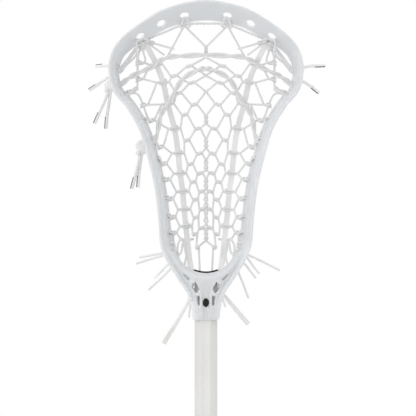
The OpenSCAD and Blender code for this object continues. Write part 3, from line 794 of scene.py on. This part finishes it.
class Tubes:
    """Collects tubes of string into one mesh. The run along each string is kept as the UV map."""

    def __init__(self):
        self.points = []
        self.faces = []
        self.runs = []

    def add(self, path, width, thick=None, sides=10, up=UP, flat=False, ends=0.35):
        """A tube along a path, round, or with a flat section whose width is square to up."""
        thick = thick or width
        ups = up if isinstance(up, list) else [up] * len(path)
        turns = [math.tau * (k + 0.5) / sides for k in range(sides)]
        power = 0.35 if flat else 1.0
        base = len(self.points)
        stations = [(0, -ends * thick, 0.45), (0, -ends * thick * 0.6, 0.82)]
        stations += [(i, 0.0, 1.0) for i in range(len(path))]
        last = len(path) - 1
        stations += [(last, ends * thick * 0.6, 0.82), (last, ends * thick, 0.45)]
        length = 0.0
        lengths = []
        spot = None
        for i, shift, grow in stations:
            t = tangent(path, i)
            v = square_to(t, ups[i])
            w = v.cross(t)
            centre = path[i] + shift * t
            length += (centre - spot).length if spot else 0.0
            spot = centre
            lengths.append(length)
            for q in turns:
                c, s = math.cos(q), math.sin(q)
                x = math.copysign(abs(c) ** power, c) * width / 2 * grow
                y = math.copysign(abs(s) ** power, s) * thick / 2 * grow
                self.points.append(place(centre + x * w + y * v))
        for j in range(len(stations) - 1):
            for k in range(sides):
                a, b = base + j * sides + k, base + j * sides + (k + 1) % sides
                self.faces.append((a, b, b + sides, a + sides))
                self.runs.append([(k / sides, lengths[j]), ((k + 1) / sides, lengths[j]),
                                  ((k + 1) / sides, lengths[j + 1]), (k / sides, lengths[j + 1])])
        for j, order in ((0, -1), (len(stations) - 1, 1)):
            ring = [base + j * sides + k for k in range(sides)][::order]
            self.faces.append(tuple(ring))
            self.runs.append([(0.5, lengths[j])] * sides)

    def make(self, name):
        return mesh_object(name, self.points, self.faces, self.runs)


def cord_piece(name, slot, node, lines, width, **section):
    """A piece made of tubes of one width along the lines."""
    tubes = Tubes()
    for line in lines:
        tubes.add(line, width, **section)
    return add_piece(tubes.make(name), slot, "stick", node)


def coil(centre, radius, turns, pitch, steps):
    """A helix that stands upright on its middle, with so many steps to a turn."""
    path = []
    for k in range(round(steps * turns) + 1):
        q = math.tau * k / steps
        rise = pitch * (k / steps - turns / 2)
        path.append(centre + Vector((radius * math.cos(q), radius * math.sin(q), rise)))
    return path


def wound(line, turns, phase, radius):
    """A cord that winds round a line."""
    path = []
    for i, p in enumerate(line):
        q = phase + math.tau * turns * i / (len(line) - 1)
        t = tangent(line, i)
        v = square_to(t, UP)
        path.append(p + radius * (math.cos(q) * v + math.sin(q) * v.cross(t)))
    return path


# ---- woven pocket ----

# Depth of the pocket. Each table: height, value
NET_EDGE_Y = [(44, 17), (58, 16), (74, 18.5), (98, 22), (127, 25), (155, 27), (184, 27), (206, 25),
              (221, 22), (241, 18), (259, 15), (276, 11), (292, 8)]
NET_SAG = [(44, 0), (58, 5), (74, 10), (98, 15), (127, 17), (155, 16), (184, 13), (206, 10), (221, 8),
           (241, 5), (259, 3), (276, 1), (292, 0)]
NET_HALF = [(44, 10), (58, 25), (74, 33), (98, 35.5), (127, 39), (155, 45), (184, 54), (206, 66), (221, 78),
            (241, 84), (259, 75), (276, 53), (292, 20)]
# Columns of the net from the sidewall to the middle, each point as half width, height
SIDE_POINTS = [(66.5, 250), (66.5, 234), (62, 209), (54, 194), (45, 168), (42, 151.5), (38.5, 136),
               (35.5, 117), (33, 99), (32, 83.5)]
THONG_POINTS = [(48.5, 248.5), (42, 231.5), (37.5, 210.5), (31, 186.5), (27.5, 162.5), (25.5, 142.5),
                (23, 124.5), (21.5, 107), (19.7, 90.5), (18.4, 77.5)]
OUTER_KNOTS = [(31.5, 237.5), (26.8, 221), (21, 200), (19, 175), (15.5, 151.5), (12.6, 134), (10.2, 116.5),
               (9.8, 99), (10.8, 82.5)]
INNER_KNOTS = [(17, 247), (14, 231), (11.5, 210), (8, 186.5), (6.5, 162), (6, 142.5), (4.5, 124.5),
               (4, 107), (4.5, 88.5), (8.4, 69.8)]
# Middle strands, each as the heights of its two ends
MIDDLE = [(238.5, 237.5), (223, 222), (200, 191), (177, 167), (156, 145.5), (138, 127), (120, 107.5),
          (100, 86), (85, 76)]
THROAT_STRING = (6, 46)
# Strands from the lowest knots beside the thong to the rim near the throat
THROAT_STRANDS = [
    [(24.2, 78.5), (27, 74), (27.9, 68), (27.2, 63), (26.8, 57)],
    [(22.2, 77), (23.2, 71), (24.2, 65.5), (26.8, 62)],
    [(21.2, 75), (20.6, 68), (19.4, 62), (20.6, 55), (21.6, 50)],
    [(32, 83.5), (31.6, 76), (30.4, 70), (31.6, 64)],
]
STRING_D = 2.15
KNOT_R = 1.15           # how far the strings of a knot lie from its middle
KNOT_D = 2.3
WRAP_D = 1.8            # string that is wound tightly
LINK_D = 1.9            # string that is twisted together
THONG_W = 5.6
THONG_T = 1.6


def lookup(u, table):
    """The value of a table at u, on straight lines between its rows."""
    if u <= table[0][0]:
        return table[0][1]
    for (a, low), (b, high) in zip(table, table[1:]):
        if u <= b:
            return low + (high - low) * (u - a) / (b - a)
    return table[-1][1]


def net_y(x, u):
    """Depth of the pocket at a place seen from the front."""
    share = min(abs(x) / lookup(u, NET_HALF), 1)
    return lookup(u, NET_EDGE_Y) + lookup(u, NET_SAG) * (1 - share ** 2)


def on_net(x, u, lift=0.0):
    return Vector((x, net_y(x, u) - lift, u))


def bowed(a, b, bow):
    """A strand from a to b that bows a little towards the back."""
    return [a.lerp(b, k / 6) + Vector((0, bow * math.sin(math.pi * k / 6), 0)) for k in range(7)]


def strand(tubes, a, b, width=STRING_D, bow=0.5):
    tubes.add(bowed(a, b, bow), width)


def twist(tubes, a, b, turns, radius, width, phases=(0, math.pi), steps=12, open_ends=True):
    """Strings that wind round the line from a to b. The radius swells from the ends to the middle."""
    t = (b - a).normalized()
    v = square_to(t, UP)
    w = v.cross(t)
    count = max(8, round(steps * turns))
    for phase in phases:
        path = []
        for i in range(count + 1):
            q = phase + math.tau * turns * i / count
            r = radius * (math.sin(math.pi * min(max(i / count, 0.08), 0.92)) ** 0.5 if open_ends else 1)
            path.append(a.lerp(b, i / count) + r * (math.cos(q) * v + math.sin(q) * w))
        tubes.add(path, width)


def thong_line():
    """The right thong, from its scoop hole, behind the scoop's edge and down to its throat hole."""
    return (vectors([(58.8, 8, 273), (58.6, 12.3, 271.5), (58, 14, 269.3), (57.3, 13.5, 266)])
            + [on_net(x, u) for x, u in THONG_POINTS]
            + vectors([(16.4, 20, 60), (15, 12, 52), (14.6, 9.6, 46), (14.4, 13, 38.8), (14.3, 16.6, 32)]))


def smooth_line(points, steps):
    return vectors(smooth([list(p) for p in points], steps))


def make_thongs():
    line = smooth_line(thong_line(), 6)
    for name, side in SIDES:
        cord_piece("pocket_thong_" + name, "thong_leather", "thong_" + name, [sided(line, side)],
                   THONG_W, thick=THONG_T, sides=16, flat=True)


def thong_wrap(tubes, i):
    """Two turns of string round the thong."""
    line = [on_net(x, u) for x, u in THONG_POINTS]
    p = line[i]
    t = tangent(line, i)
    v = square_to(t, UP)
    w = v.cross(t)
    half_w, half_t = THONG_W / 2 + 0.8, THONG_T / 2 + 0.8
    path = []
    turns, pitch, steps = 2, 1.9, 20
    for k in range(turns * steps + 1):
        q = math.tau * k / steps
        across = math.copysign(abs(math.cos(q)) ** 0.5, math.cos(q)) * half_w
        depth = math.copysign(abs(math.sin(q)) ** 0.7, math.sin(q)) * half_t
        path.append(p + across * w + depth * v + (k / steps - turns / 2) * pitch * t)
    tubes.add(path, WRAP_D)


def fork(i, side):
    """Where the strands part beside a thong: side is 1 towards the sidewall and -1 towards the middle."""
    x, u = THONG_POINTS[i]
    return on_net(x + side * (THONG_W / 2 + 3.2), u - 0.4 * side)


def knot_ends(x, u):
    """The middle end and the outer end of a knot between four strands."""
    reach = 2.4 if u > 75 else 1.3
    return on_net(x - reach, u + 0.7), on_net(x + reach, u - 0.7)


def side_fork(i):
    x, u = SIDE_POINTS[i]
    return on_net(x - (5.2 if i < 3 else 3.2), u + 0.6)


def side_column(tubes, i, fork_out, fork_in):
    """One level of the net from the sidewall to the thong: hitch, links and strands."""
    if i < 9:
        thong_wrap(tubes, i)
    x, u = THONG_POINTS[i]
    for side, end in ((1, fork_out), (-1, fork_in)):
        twist(tubes, on_net(x + side * THONG_W / 2, u), end, 0.5, 0.6, LINK_D)
    hitch = on_net(*SIDE_POINTS[i])
    twist(tubes, hitch + Vector((1.2, 0, -0.5)), side_fork(i), 1.0, 0.9, LINK_D)
    tubes.add(coil(hitch, 1.8, 1.5, 3.0, 16), WRAP_D)
    strand(tubes, side_fork(i), fork_out)
    if i < 9:
        strand(tubes, side_fork(i + 1), fork_out)


def half_net():
    """The right half of the net, level by level from the scoop to the throat."""
    tubes = Tubes()
    forks_out = [fork(i, 1) for i in range(10)]
    forks_in = [fork(i, -1) for i in range(10)]
    outer = [knot_ends(x, u) for x, u in OUTER_KNOTS]
    inner = [knot_ends(x, u) for x, u in INNER_KNOTS]
    for i in range(10):
        side_column(tubes, i, forks_out[i], forks_in[i])
    for i in range(9):
        twist(tubes, outer[i][1], outer[i][0], 1.0, KNOT_R, KNOT_D)
        strand(tubes, forks_in[i], outer[i][1])
        if i < 8:
            strand(tubes, forks_in[i + 1], outer[i][1])
        strand(tubes, outer[i][0], inner[i][1])
        strand(tubes, outer[i][0], inner[i + 1][1])
        top, low = MIDDLE[i]
        strand(tubes, inner[i][0], on_net(0.6, top))
        strand(tubes, on_net(0.6, low), inner[i + 1][0])
    for i, (a, b) in enumerate(inner):
        twist(tubes, b, a, 1.0 if i < 9 else 1.5, KNOT_R * (1 if i < 9 else 1.3), KNOT_D)
    strand(tubes, inner[0][0], on_net(1.05, 255))
    strand(tubes, inner[9][0], Vector((THROAT_STRING[0], 17.2, THROAT_STRING[1])))
    for row in THROAT_STRANDS:
        tubes.add(smooth_line([on_net(*p) for p in row], 5), STRING_D)
    return tubes


def middle_twists(tubes, side):
    """This side's string of each twisted pair in the middle. The pair opens into an eye."""
    for top, low in MIDDLE:
        height = top - low
        turns = 0.5 if height < 4 else 1.0
        twist(tubes, on_net(0, top), on_net(0, low), turns, 1.15 + 0.05 * height, STRING_D,
              phases=(math.pi / 2 * (1 + side),), steps=20)


def make_net():
    for name, side in SIDES:
        tubes = half_net()
        if side < 0:
            tubes.points = flipped(tubes.points)
            tubes.faces = [face[::-1] for face in tubes.faces]
            tubes.runs = [face[::-1] for face in tubes.runs]
        middle_twists(tubes, side)
        add_piece(tubes.make("pocket_net_" + name), "string_fabric", "stick", "crosslace_" + name)


def slot_turn(s, hitch=()):
    """In through a sidewall slot, round a hitch and back out to the wall's outside."""
    gap, inside, outside = 0.04, -0.4, 7.4
    turn = []
    for at_s, n in ((s + gap, outside), (s + gap, inside), (s - gap, inside), (s - gap, outside)):
        r = curve_at(FULL_RIM, at_s)
        turn.append(rim_point(at_s, n - r[2], r[4] - SLOT_SHIFT))
    return turn[:2] + list(hitch) + turn[2:]


def sidewall_route():
    """From the scoop's hole down to a lump at an upper slot, then from slot to slot to the throat."""
    lump, low = Vector((68.6, 24.5, 223.2)), Vector((62, 27, 211))
    into, back, out = slot_turn(SLOTS[10])[1:]
    route = vectors([(66.9, 6, 271.4), (67.2, 1, 270.4), (67.5, -3.4, 268.4), (67.3, -1.4, 265.6),
                     (67, 5, 261), (66.9, 12, 254), (66.8, 22, 242), (67, 25, 226)])
    route += [lump, into, out, back, lump + Vector((-2, 1, -2)), low, Vector((57.6, 28, 197.5))]
    for k in range(3, 10):
        knot = on_net(*SIDE_POINTS[k])
        turn = slot_turn(SLOTS[12 - k], [knot + Vector((1.6, 0, 1.2)), knot, knot + Vector((1.6, 0, -1.2))])
        route += turn[3:] if k == 3 else turn
    return route + slot_turn(SLOTS[2]) + slot_turn(SLOTS[1]), into, lump


def make_sidewall_strings():
    route, into, lump = sidewall_route()
    path = eased(route, 2)
    winding = wound([into.lerp(lump, k / 40) for k in range(41)], 3.5, 0.0, 1.7)
    for name, side in SIDES:
        tubes = Tubes()
        tubes.add(sided(path, side), STRING_D)
        tubes.add(sided(winding, side), 2.0)
        add_piece(tubes.make("side_string_" + name), "string_fabric", "stick", "sidewall_string_" + name)


# The top string's right half: its line along the scoop, its loops through the scoop's hole, the strands at
# the corner, and the coils there, as a middle and a number of turns
SCOOP_RAIL = [[60, 13, 271.5], [41, 13, 279.5], [21, 11.5, 287], [0, 11, 288]]
SCOOP_LOOPS = [
    [(21, 12, 286.5), (20.3, 6, 290.5), (19.6, 0, 293.3), (18.5, -3.6, 292.2), (16.8, 1, 289),
     (15, 8, 286)],
    [(21, 12.5, 286), (20.8, 6, 290), (20.8, 0, 292.6), (22, -3.6, 291.8), (23.6, 1.5, 288.4),
     (25, 8.5, 285.2)],
    [(25, 8.5, 285.2), (24, 11, 283.5), (22, 12.5, 284)],
    [(15, 8, 286), (17, 11, 284.5), (20, 12.5, 284.5)],
]
CORNER_STRANDS = [
    [(64.6, 9, 267.8), (71, 14, 261), (79, 16, 250.5), (85.5, 17, 243)],
    [(64.5, 10.5, 266.8), (72, 15, 257), (78.5, 17, 249), (84, 18, 240.5)],
    [(63, 12, 264), (70, 16, 255), (77, 17, 248.5), (83, 18, 241)],
    [(61.5, 12, 266), (61, 15, 260), (59.2, 18, 254), (60.5, 20, 250), (64.5, 20, 249)],
    [(62.5, 12, 265), (66, 17, 258), (66.5, 19.5, 252)],
]
CORNER_COILS = [((62.3, 11.5, 265.5), 4), ((52.5, 13, 269.3), 2), ((57.5, 10.5, 270.5), 2)]


def make_top_string():
    """The string along the scoop, its loops through the holes, and the V that holds the upper lace."""
    tubes = Tubes()
    rail = smooth_line(both_halves(SCOOP_RAIL), 10)
    for phase in (0, math.pi):
        path = []
        for i, p in enumerate(rail):
            q = phase + math.tau * run_length(rail[:i + 1]) / 7
            t = tangent(rail, i)
            v = square_to(t, UP)
            path.append(p + 0.75 * (math.cos(q) * v + math.sin(q) * v.cross(t)))
        tubes.add(path, 1.7, sides=8)
    loop, join = Vector((21, 10.5, 286)), Vector((0.9, 11.5, 266))
    lines = [smooth_line(row, 5) for row in SCOOP_LOOPS + CORNER_STRANDS]
    lines += [bowed(loop, on_net(37, 257.5), 0.6), bowed(loop, join, 0.6),
              bowed(join, on_net(0.9, 259.5), 0),
              bowed(Vector((60, 12, 271.5)), on_net(41, 258), 0.6),
              bowed(Vector((55, 12, 270)), Vector((31.5, 15, 263.5)), 0.4)]
    for side in (1, -1):
        for line in lines:
            tubes.add(sided(line, side), STRING_D)
        for centre, turns in CORNER_COILS:
            tubes.add(sided(coil(Vector(centre), 2.1, turns, 1.8, 14), side), WRAP_D)
    add_piece(tubes.make("scoop_string"), "string_fabric", "stick", "top_string")


# ---- laces ----

# Centrelines of the right half of each lace, as half width and height
UPPER_LACE = [[86, 226.5], [76, 234.5], [68, 239], [52, 246.5], [45, 251.5], [36, 255.5], [22, 256.6],
              [0, 257.6]]
LOWER_LACE = [[52, 172], [48, 180], [45.5, 194.5], [41.5, 205], [34, 215], [27, 228.5], [19.4, 237],
              [6, 243.5], [0, 244]]
LACE_FRONT = 3.9        # how far the laces lie in front of the net
LACE_D = 2.9
STUB = [(83, 15, 214), (78, 16.5, 217.5), (72, 18, 222), (67.5, 19, 225.5)]
# Each knot as a name, its middle, and its width, depth and height
OUTSIDE_KNOTS = [("upper", (-94.2, 9, 227), (8.5, 8, 11)), ("lower", (-63.4, 15, 167), (9, 8, 14))]


def make_laces():
    for name, half, turns in (("upper", UPPER_LACE, 6), ("lower", LOWER_LACE, 7)):
        line = smooth_line([on_net(x, u, LACE_FRONT) for x, u in both_halves(half)], 8)
        for letter, phase in (("a", 0), ("b", math.pi)):
            cord_piece(f"lace_{name}_{letter}", "lace_fabric", f"shooting_{name}_{letter}",
                       [wound(line, turns, phase, 1.35)], LACE_D, sides=12)
    stub = smooth_line(STUB, 6)
    for name, side in SIDES:
        line = sided(stub, side)
        cord_piece("lace_end_" + name, "lace_fabric", "lace_stub_" + name,
                   [wound(line, 0.8, phase, 1.1) for phase in (0, math.pi)], 2.7, sides=12)


def make_outside_knots():
    """Trefoil knots of lace outside the left sidewall."""
    for name, centre, (wide, deep, high) in OUTSIDE_KNOTS:
        path = []
        for k in range(61):
            q = math.tau * k / 60
            x = math.sin(3 * q)
            y = math.cos(q) - 2 * math.cos(2 * q)
            z = math.sin(q) + 2 * math.sin(2 * q)
            path.append(Vector(centre) + Vector((x * 0.31 * wide, y * 0.1 * deep, z * 0.145 * high)))
        cord_piece("lace_knot_" + name, "lace_fabric", "knot_left_" + name, [path], 5.2, sides=12,
                   up=Vector((1, 0.2, 0.1)))


# ---- free tails ----

# Each tail as x, y and height. The first point is in the slot that it leaves
TAILS = [
    [(-88.5, 13, 247), (-93, 17, 247.5), (-98, 23, 247.5), (-103, 30.5, 248), (-107.5, 38, 248)],
    [(-89, 13, 239.5), (-94.5, 15, 236.5), (-101, 18, 232.5), (-107.5, 20.5, 228), (-114, 22, 224)],
    [(-95, 10, 222), (-98.5, 10, 213), (-103, 11, 203), (-108.5, 12, 191)],
    [(-93, 10.5, 222), (-94.5, 12, 210), (-96.5, 13, 198), (-97.5, 13, 186)],
    [(89, 13, 245), (95, 15, 245.5), (102, 18.5, 247), (109, 22.5, 247.5), (116, 26.5, 248)],
    [(88, 14, 236), (93.5, 16, 232.5), (99, 20, 229.5), (104.5, 25, 226), (110, 31, 222)],
    [(-64, 16, 162), (-66.5, 17, 151), (-69.5, 18.5, 139), (-72.5, 19.5, 127.5)],
    [(-62.5, 17, 162), (-64, 19, 152), (-65.5, 20, 141), (-66.5, 20.5, 129)],
    [(-34, 10, 66.5), (-42, 12.5, 64.5), (-50, 14.5, 63), (-57.5, 17, 61.5), (-65, 19.5, 60)],
    [(-34.5, 9.5, 65), (-42, 12, 62), (-50.5, 13.5, 59.5), (-59, 14.5, 57), (-68, 15, 54)],
    [(-28, 8, 54.5), (-33, 10, 53.5), (-38.5, 13, 52), (-43.5, 17.5, 46.5), (-50, 25.5, 40)],
    [(-27.5, 8, 54), (-31, 10.5, 51), (-36, 12, 47.5), (-42.5, 13.5, 41), (-49, 14.5, 35), (-56, 15, 28.5)],
    [(34.5, 9.5, 65), (42.5, 12, 62), (51, 14, 58), (61, 15.5, 53), (72, 16, 47.5)],
    [(34, 10, 66), (38.5, 11.5, 62), (42, 14, 57.5), (46.5, 18, 51), (52, 27.5, 44.5)],
    [(28, 8, 54.5), (33, 10.5, 54), (38.5, 13.5, 53), (43, 18, 47), (48.5, 27.5, 40)],
    [(27.5, 8, 54), (30, 10.5, 49.5), (32, 12, 44.5), (35.5, 13, 36.5), (38.5, 14, 28.5),
     (41.5, 14.5, 20.5)],
]
THONG_TAILS = {
    "left": [(-13.8, 17, 28), (-17, 18, 17.5), (-23, 19, 6.5), (-29.5, 19.5, -4.5), (-36, 19.5, -15),
             (-41.5, 19, -24)],
    "right": [(13.8, 17, 28), (18.5, 18, 22), (26, 19, 13), (34, 19.5, 3.5), (41.5, 19.5, -5)],
}
STRING_TAILS = {
    "left": [(-8, 16.5, 35), (-12, 21.5, 26), (-15.5, 23.5, 14), (-16.5, 23.5, 1)],
    "right": [(7, 16.5, 37), (12, 21.5, 30), (16, 24, 20.5), (19, 32.5, 11.5)],
}
TIPPED = 8              # the first tails end in a crimped sleeve
TIPPED_D = 3.2
PLAIN_D = 2.4
SLEEVE = 11.5           # length of a crimped sleeve


def tail_path(route):
    """A smooth path of 15 to 40 points through the route."""
    return smooth_line(route, math.ceil(16 / (len(route) - 1)))


def declare(piece, path, diameter, far_end="bare", pieces=()):
    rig.cord(piece, exit=tuple(place(path[0])), length=run_length(path) * MM, diameter=diameter * MM,
            far_end=far_end, stiffness="stiff", lay="loose", path=[tuple(place(p)) for p in path],
            with_pieces=list(pieces))


def make_sleeve(k, path):
    """A plastic sleeve round the end of a lace, with two crimped rings and an open end."""
    back = -tangent(path, len(path) - 1)
    foot = path[-1] - 0.4 * back
    side = square_to(back, UP)
    other = back.cross(side)
    outside, inside = TIPPED_D / 2 + 0.22, TIPPED_D / 2 + 0.02
    profile = [(0, inside), (0, outside - 0.15), (0.2, outside)]
    for crimp in (2.6, SLEEVE - 2.6):
        profile += [(crimp - 0.8, outside), (crimp - 0.3, outside - 0.18), (crimp + 0.3, outside - 0.18),
                    (crimp + 0.8, outside)]
    profile += [(SLEEVE - 0.2, outside), (SLEEVE, outside - 0.15), (SLEEVE, inside)]
    turns = [math.tau * i / 24 for i in range(24)]
    rings = [[place(foot + h * back + r * (math.cos(q) * side + math.sin(q) * other)) for q in turns]
             for h, r in profile]
    sleeve = skin(f"lace_tip_{k}", rings, closed=True)
    # The share of a turn around the sleeve places its painted reflection band.
    turn_map = sleeve.data.uv_layers.new(name="run")
    for loop in sleeve.data.loops:
        turn_map.data[loop.index].uv = (loop.vertex_index % len(turns) / len(turns), 0)
    return add_piece(sleeve, "aglet_plastic", "stick", f"aglet_{k}")


def make_tails():
    for k, route in enumerate(TAILS, 1):
        path = tail_path(route)
        tipped = k <= TIPPED
        slot, width = ("lace_fabric", TIPPED_D) if tipped else ("string_fabric", PLAIN_D)
        piece = cord_piece(f"lace_tail_{k}", slot, f"tail_{k}", [path], width, sides=12, ends=0.1)
        if tipped:
            declare(piece, path, width, "fitting", [make_sleeve(k, path)])
        else:
            declare(piece, path, width)
    for name, route in STRING_TAILS.items():
        path = tail_path(route)
        piece = cord_piece("loose_string_" + name, "string_fabric", "string_tail_" + name, [path], PLAIN_D,
                           sides=12, ends=0.1)
        declare(piece, path, PLAIN_D)
    for name, side in SIDES:
        path = tail_path(THONG_TAILS[name])
        turns = [math.radians(84 - 58 * i / (len(path) - 1)) for i in range(len(path))]
        ups = [Vector((side * math.sin(turn), math.cos(turn), 0)) for turn in turns]
        piece = cord_piece("thong_end_" + name, "thong_leather", "thong_tail_" + name, [path], 5.0,
                           thick=2.4, sides=16, up=ups, flat=True, ends=0.05)
        declare(piece, path, 5.0)


# ---- shaft, cap and small parts ----

SHAFT_AF = 22.2         # across the flats
SHAFT_WALL = 1.2
CAP_WALL = 2.2


def tube_ring(af, u, corner=1.7, hollow=0.0):
    """An octagon with rounded corners, whose flats may be slightly hollow."""
    ring = []
    edge = af / 2 * math.tan(math.pi / 8)
    reach = corner * math.tan(math.pi / 8)
    for side in range(8):
        q = math.pi / 4 * side
        out, along = Vector((math.cos(q), math.sin(q), 0)), Vector((-math.sin(q), math.cos(q), 0))
        for share in (-1, -0.92, -0.6, -0.25, 0.25, 0.6, 0.92, 1):
            depth = af / 2 - hollow * (1 - share ** 2)
            p = out * depth + along * share * (edge - reach)
            ring.append(place((p.x, p.y, u)))
        centre = out * (af / 2 - corner) + along * (edge - reach)
        for step in (0.25, 0.5, 0.75):
            turn = q + math.pi / 4 * step
            p = centre + corner * Vector((math.cos(turn), math.sin(turn), 0))
            ring.append(place((p.x, p.y, u)))
    return ring


def height_of(node, end):
    """The lowest (0) or highest (1) height of a CAD node, above the socket's mouth."""
    return (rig.box(node)[end][2] - HEAD_Z) / MM


def make_shaft():
    low, high = height_of("shaft", 0), height_of("shaft", 1)
    profile = [(SHAFT_AF - 0.8, low, 0.3), (SHAFT_AF, low + 0.4, 0.45), (SHAFT_AF, low + 20, 0.45)]
    profile += [(SHAFT_AF, low + (high - low) * k / 12, 0.45) for k in range(1, 12)]
    profile += [(SHAFT_AF, high - 0.4, 0.45), (SHAFT_AF - 0.8, high, 0.3)]
    bore = SHAFT_AF - 2 * SHAFT_WALL
    rings = [tube_ring(af, u, hollow=hollow) for af, u, hollow in profile]
    rings += [tube_ring(bore, u, corner=1.0, hollow=0.3) for u in (high, low)]
    shaft = skin("shaft_tube", rings, closed=True)
    combine(shaft, round_bar(Vector((0, 0, SCREW_U)), Vector((0, 20, SCREW_U)), 2.5), "DIFFERENCE")
    shaft.data.shade_smooth()
    add_piece(shaft, "shaft_paint", "stick", "shaft")


def make_end_cap():
    """A pushed-on rubber cap with three shallow grip rings and a domed foot."""
    low, high = height_of("end_cap", 0), height_of("end_cap", 1)
    fit = SHAFT_AF + 0.2
    outer = fit + 2 * CAP_WALL
    floor_u = height_of("shaft", 0)
    profile = [(fit - 1, floor_u), (fit, floor_u + 0.4), (fit, high - 0.3), (fit + 0.5, high),
               (outer - 1.5, high), (outer - 0.3, high - 0.5), (outer, high - 1.3)]
    for middle in (high - 6, high - 10, high - 14):
        profile += [(outer, middle + 1.2), (outer - 0.9, middle + 0.6), (outer - 0.9, middle - 0.6),
                    (outer, middle - 1.2)]
    profile += [(outer, low + 3), (outer - 0.5, low + 1.4), (outer - 2, low + 0.4), (outer - 5, low),
                (outer - 6, low)]
    rings = [tube_ring(af, u, corner=3.2) for af, u in profile]
    add_piece(skin("butt_cap", rings), "cap_rubber", "cap", "end_cap")


def make_screw():
    """A pan-head screw with a hex socket and a rolled thread."""
    seat, head_r, head_h, shank_r, length, pitch = 13.5, 3.8, 2.2, 2.4, 14, 0.9
    count = 24

    def ring(y, radius):
        """A ring of one radius, or of a radius that depends on the turn."""
        points = []
        for k in range(count):
            q = math.tau * k / count
            r = radius(q) if callable(radius) else radius
            points.append(place((r * math.cos(q), y, SCREW_U + r * math.sin(q))))
        return points

    def hexagon(q):
        return 1.5 / math.cos((q + math.pi / 6) % (math.pi / 3) - math.pi / 6)

    def thread(y, fade):
        return lambda q: fade * (shank_r - 0.35 * abs(2 * ((y / pitch + q / math.tau) % 1) - 1))

    top = seat + head_h
    rings = [ring(top - 1.2, 0.3), ring(top - 1.2, hexagon), ring(top - 0.05, hexagon), ring(top, 2.0)]
    for k in range(1, 7):
        turn = math.pi / 2 * k / 6
        rings.append(ring(top - 1.0 * (1 - math.cos(turn)), 2.0 + 1.8 * math.sin(turn)))
    rings += [ring(seat, head_r), ring(seat, shank_r)]
    steps = 110
    for k in range(steps):
        y = seat - 0.6 - (length - 0.6) * k / (steps - 1)
        rings.append(ring(y, thread(y, min(1, (y - seat + length) / 1.5 + 0.35))))
    screw = skin("throat_screw", rings)
    screw.data.shade_smooth()
    add_piece(screw, "screw_steel", "screw", "head_screw")


def make_ball_stop():
    """A thin foam pad along the bottom of the ball's room."""
    span, y_front, y_back = 22.5, 1.3, 15.3
    inner, outer = STOP_R - 1.4, STOP_R - 0.05
    middle, half = (inner + outer) / 2, (outer - inner) / 2
    rings = []
    for k in range(33):
        turn = math.radians(span * (k / 16 - 1))
        out = Vector((math.sin(turn), 0, -math.cos(turn)))
        pinch = 0.6 if k in (0, 32) else 1
        near, far = middle - pinch * half, middle + pinch * half
        section = rounded([(near, y_front), (far, y_front), (far, y_back), (near, y_back)], 2)
        rings.append([place(r * out + Vector((0, y, STOP_U + STOP_R))) for r, y in section])
    add_piece(skin("stop_pad", rings), "stop_rubber", "stick", "ball_stop")


def make_inlay():
    """A plain oval, slightly domed, in the front of the throat."""
    half_width, half_height = 0.72 * 4.2, 4.2
    profile = [(-12.1, 1), (-12.7, 1), (-12.9, 0.95), (-12.98, 0.86), (-13, 0.6), (-13, 0.2)]
    turns = [math.tau * k / 48 for k in range(48)]
    rings = [[place((half_width * grow * math.cos(q), y, SCREW_U + half_height * grow * math.sin(q)))
              for q in turns] for y, grow in profile]
    add_piece(skin("throat_oval", rings), "inlay_plastic", "stick", "throat_inlay")


make_camera()
make_world()
make_lamps()
make_tails()
make_floor()
make_head()
make_thongs()
make_net()
make_sidewall_strings()
make_top_string()
make_laces()
make_outside_knots()
make_shaft()
make_end_cap()
make_screw()
make_ball_stop()
make_inlay()

seen_low, seen_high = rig.bounds()
with open("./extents.json", "w") as out:
    json.dump({"cad": [list(cad_low), list(cad_high)], "visual": [list(seen_low), list(seen_high)]}, out)
bpy.context.scene.view_settings.view_transform = "Standard"
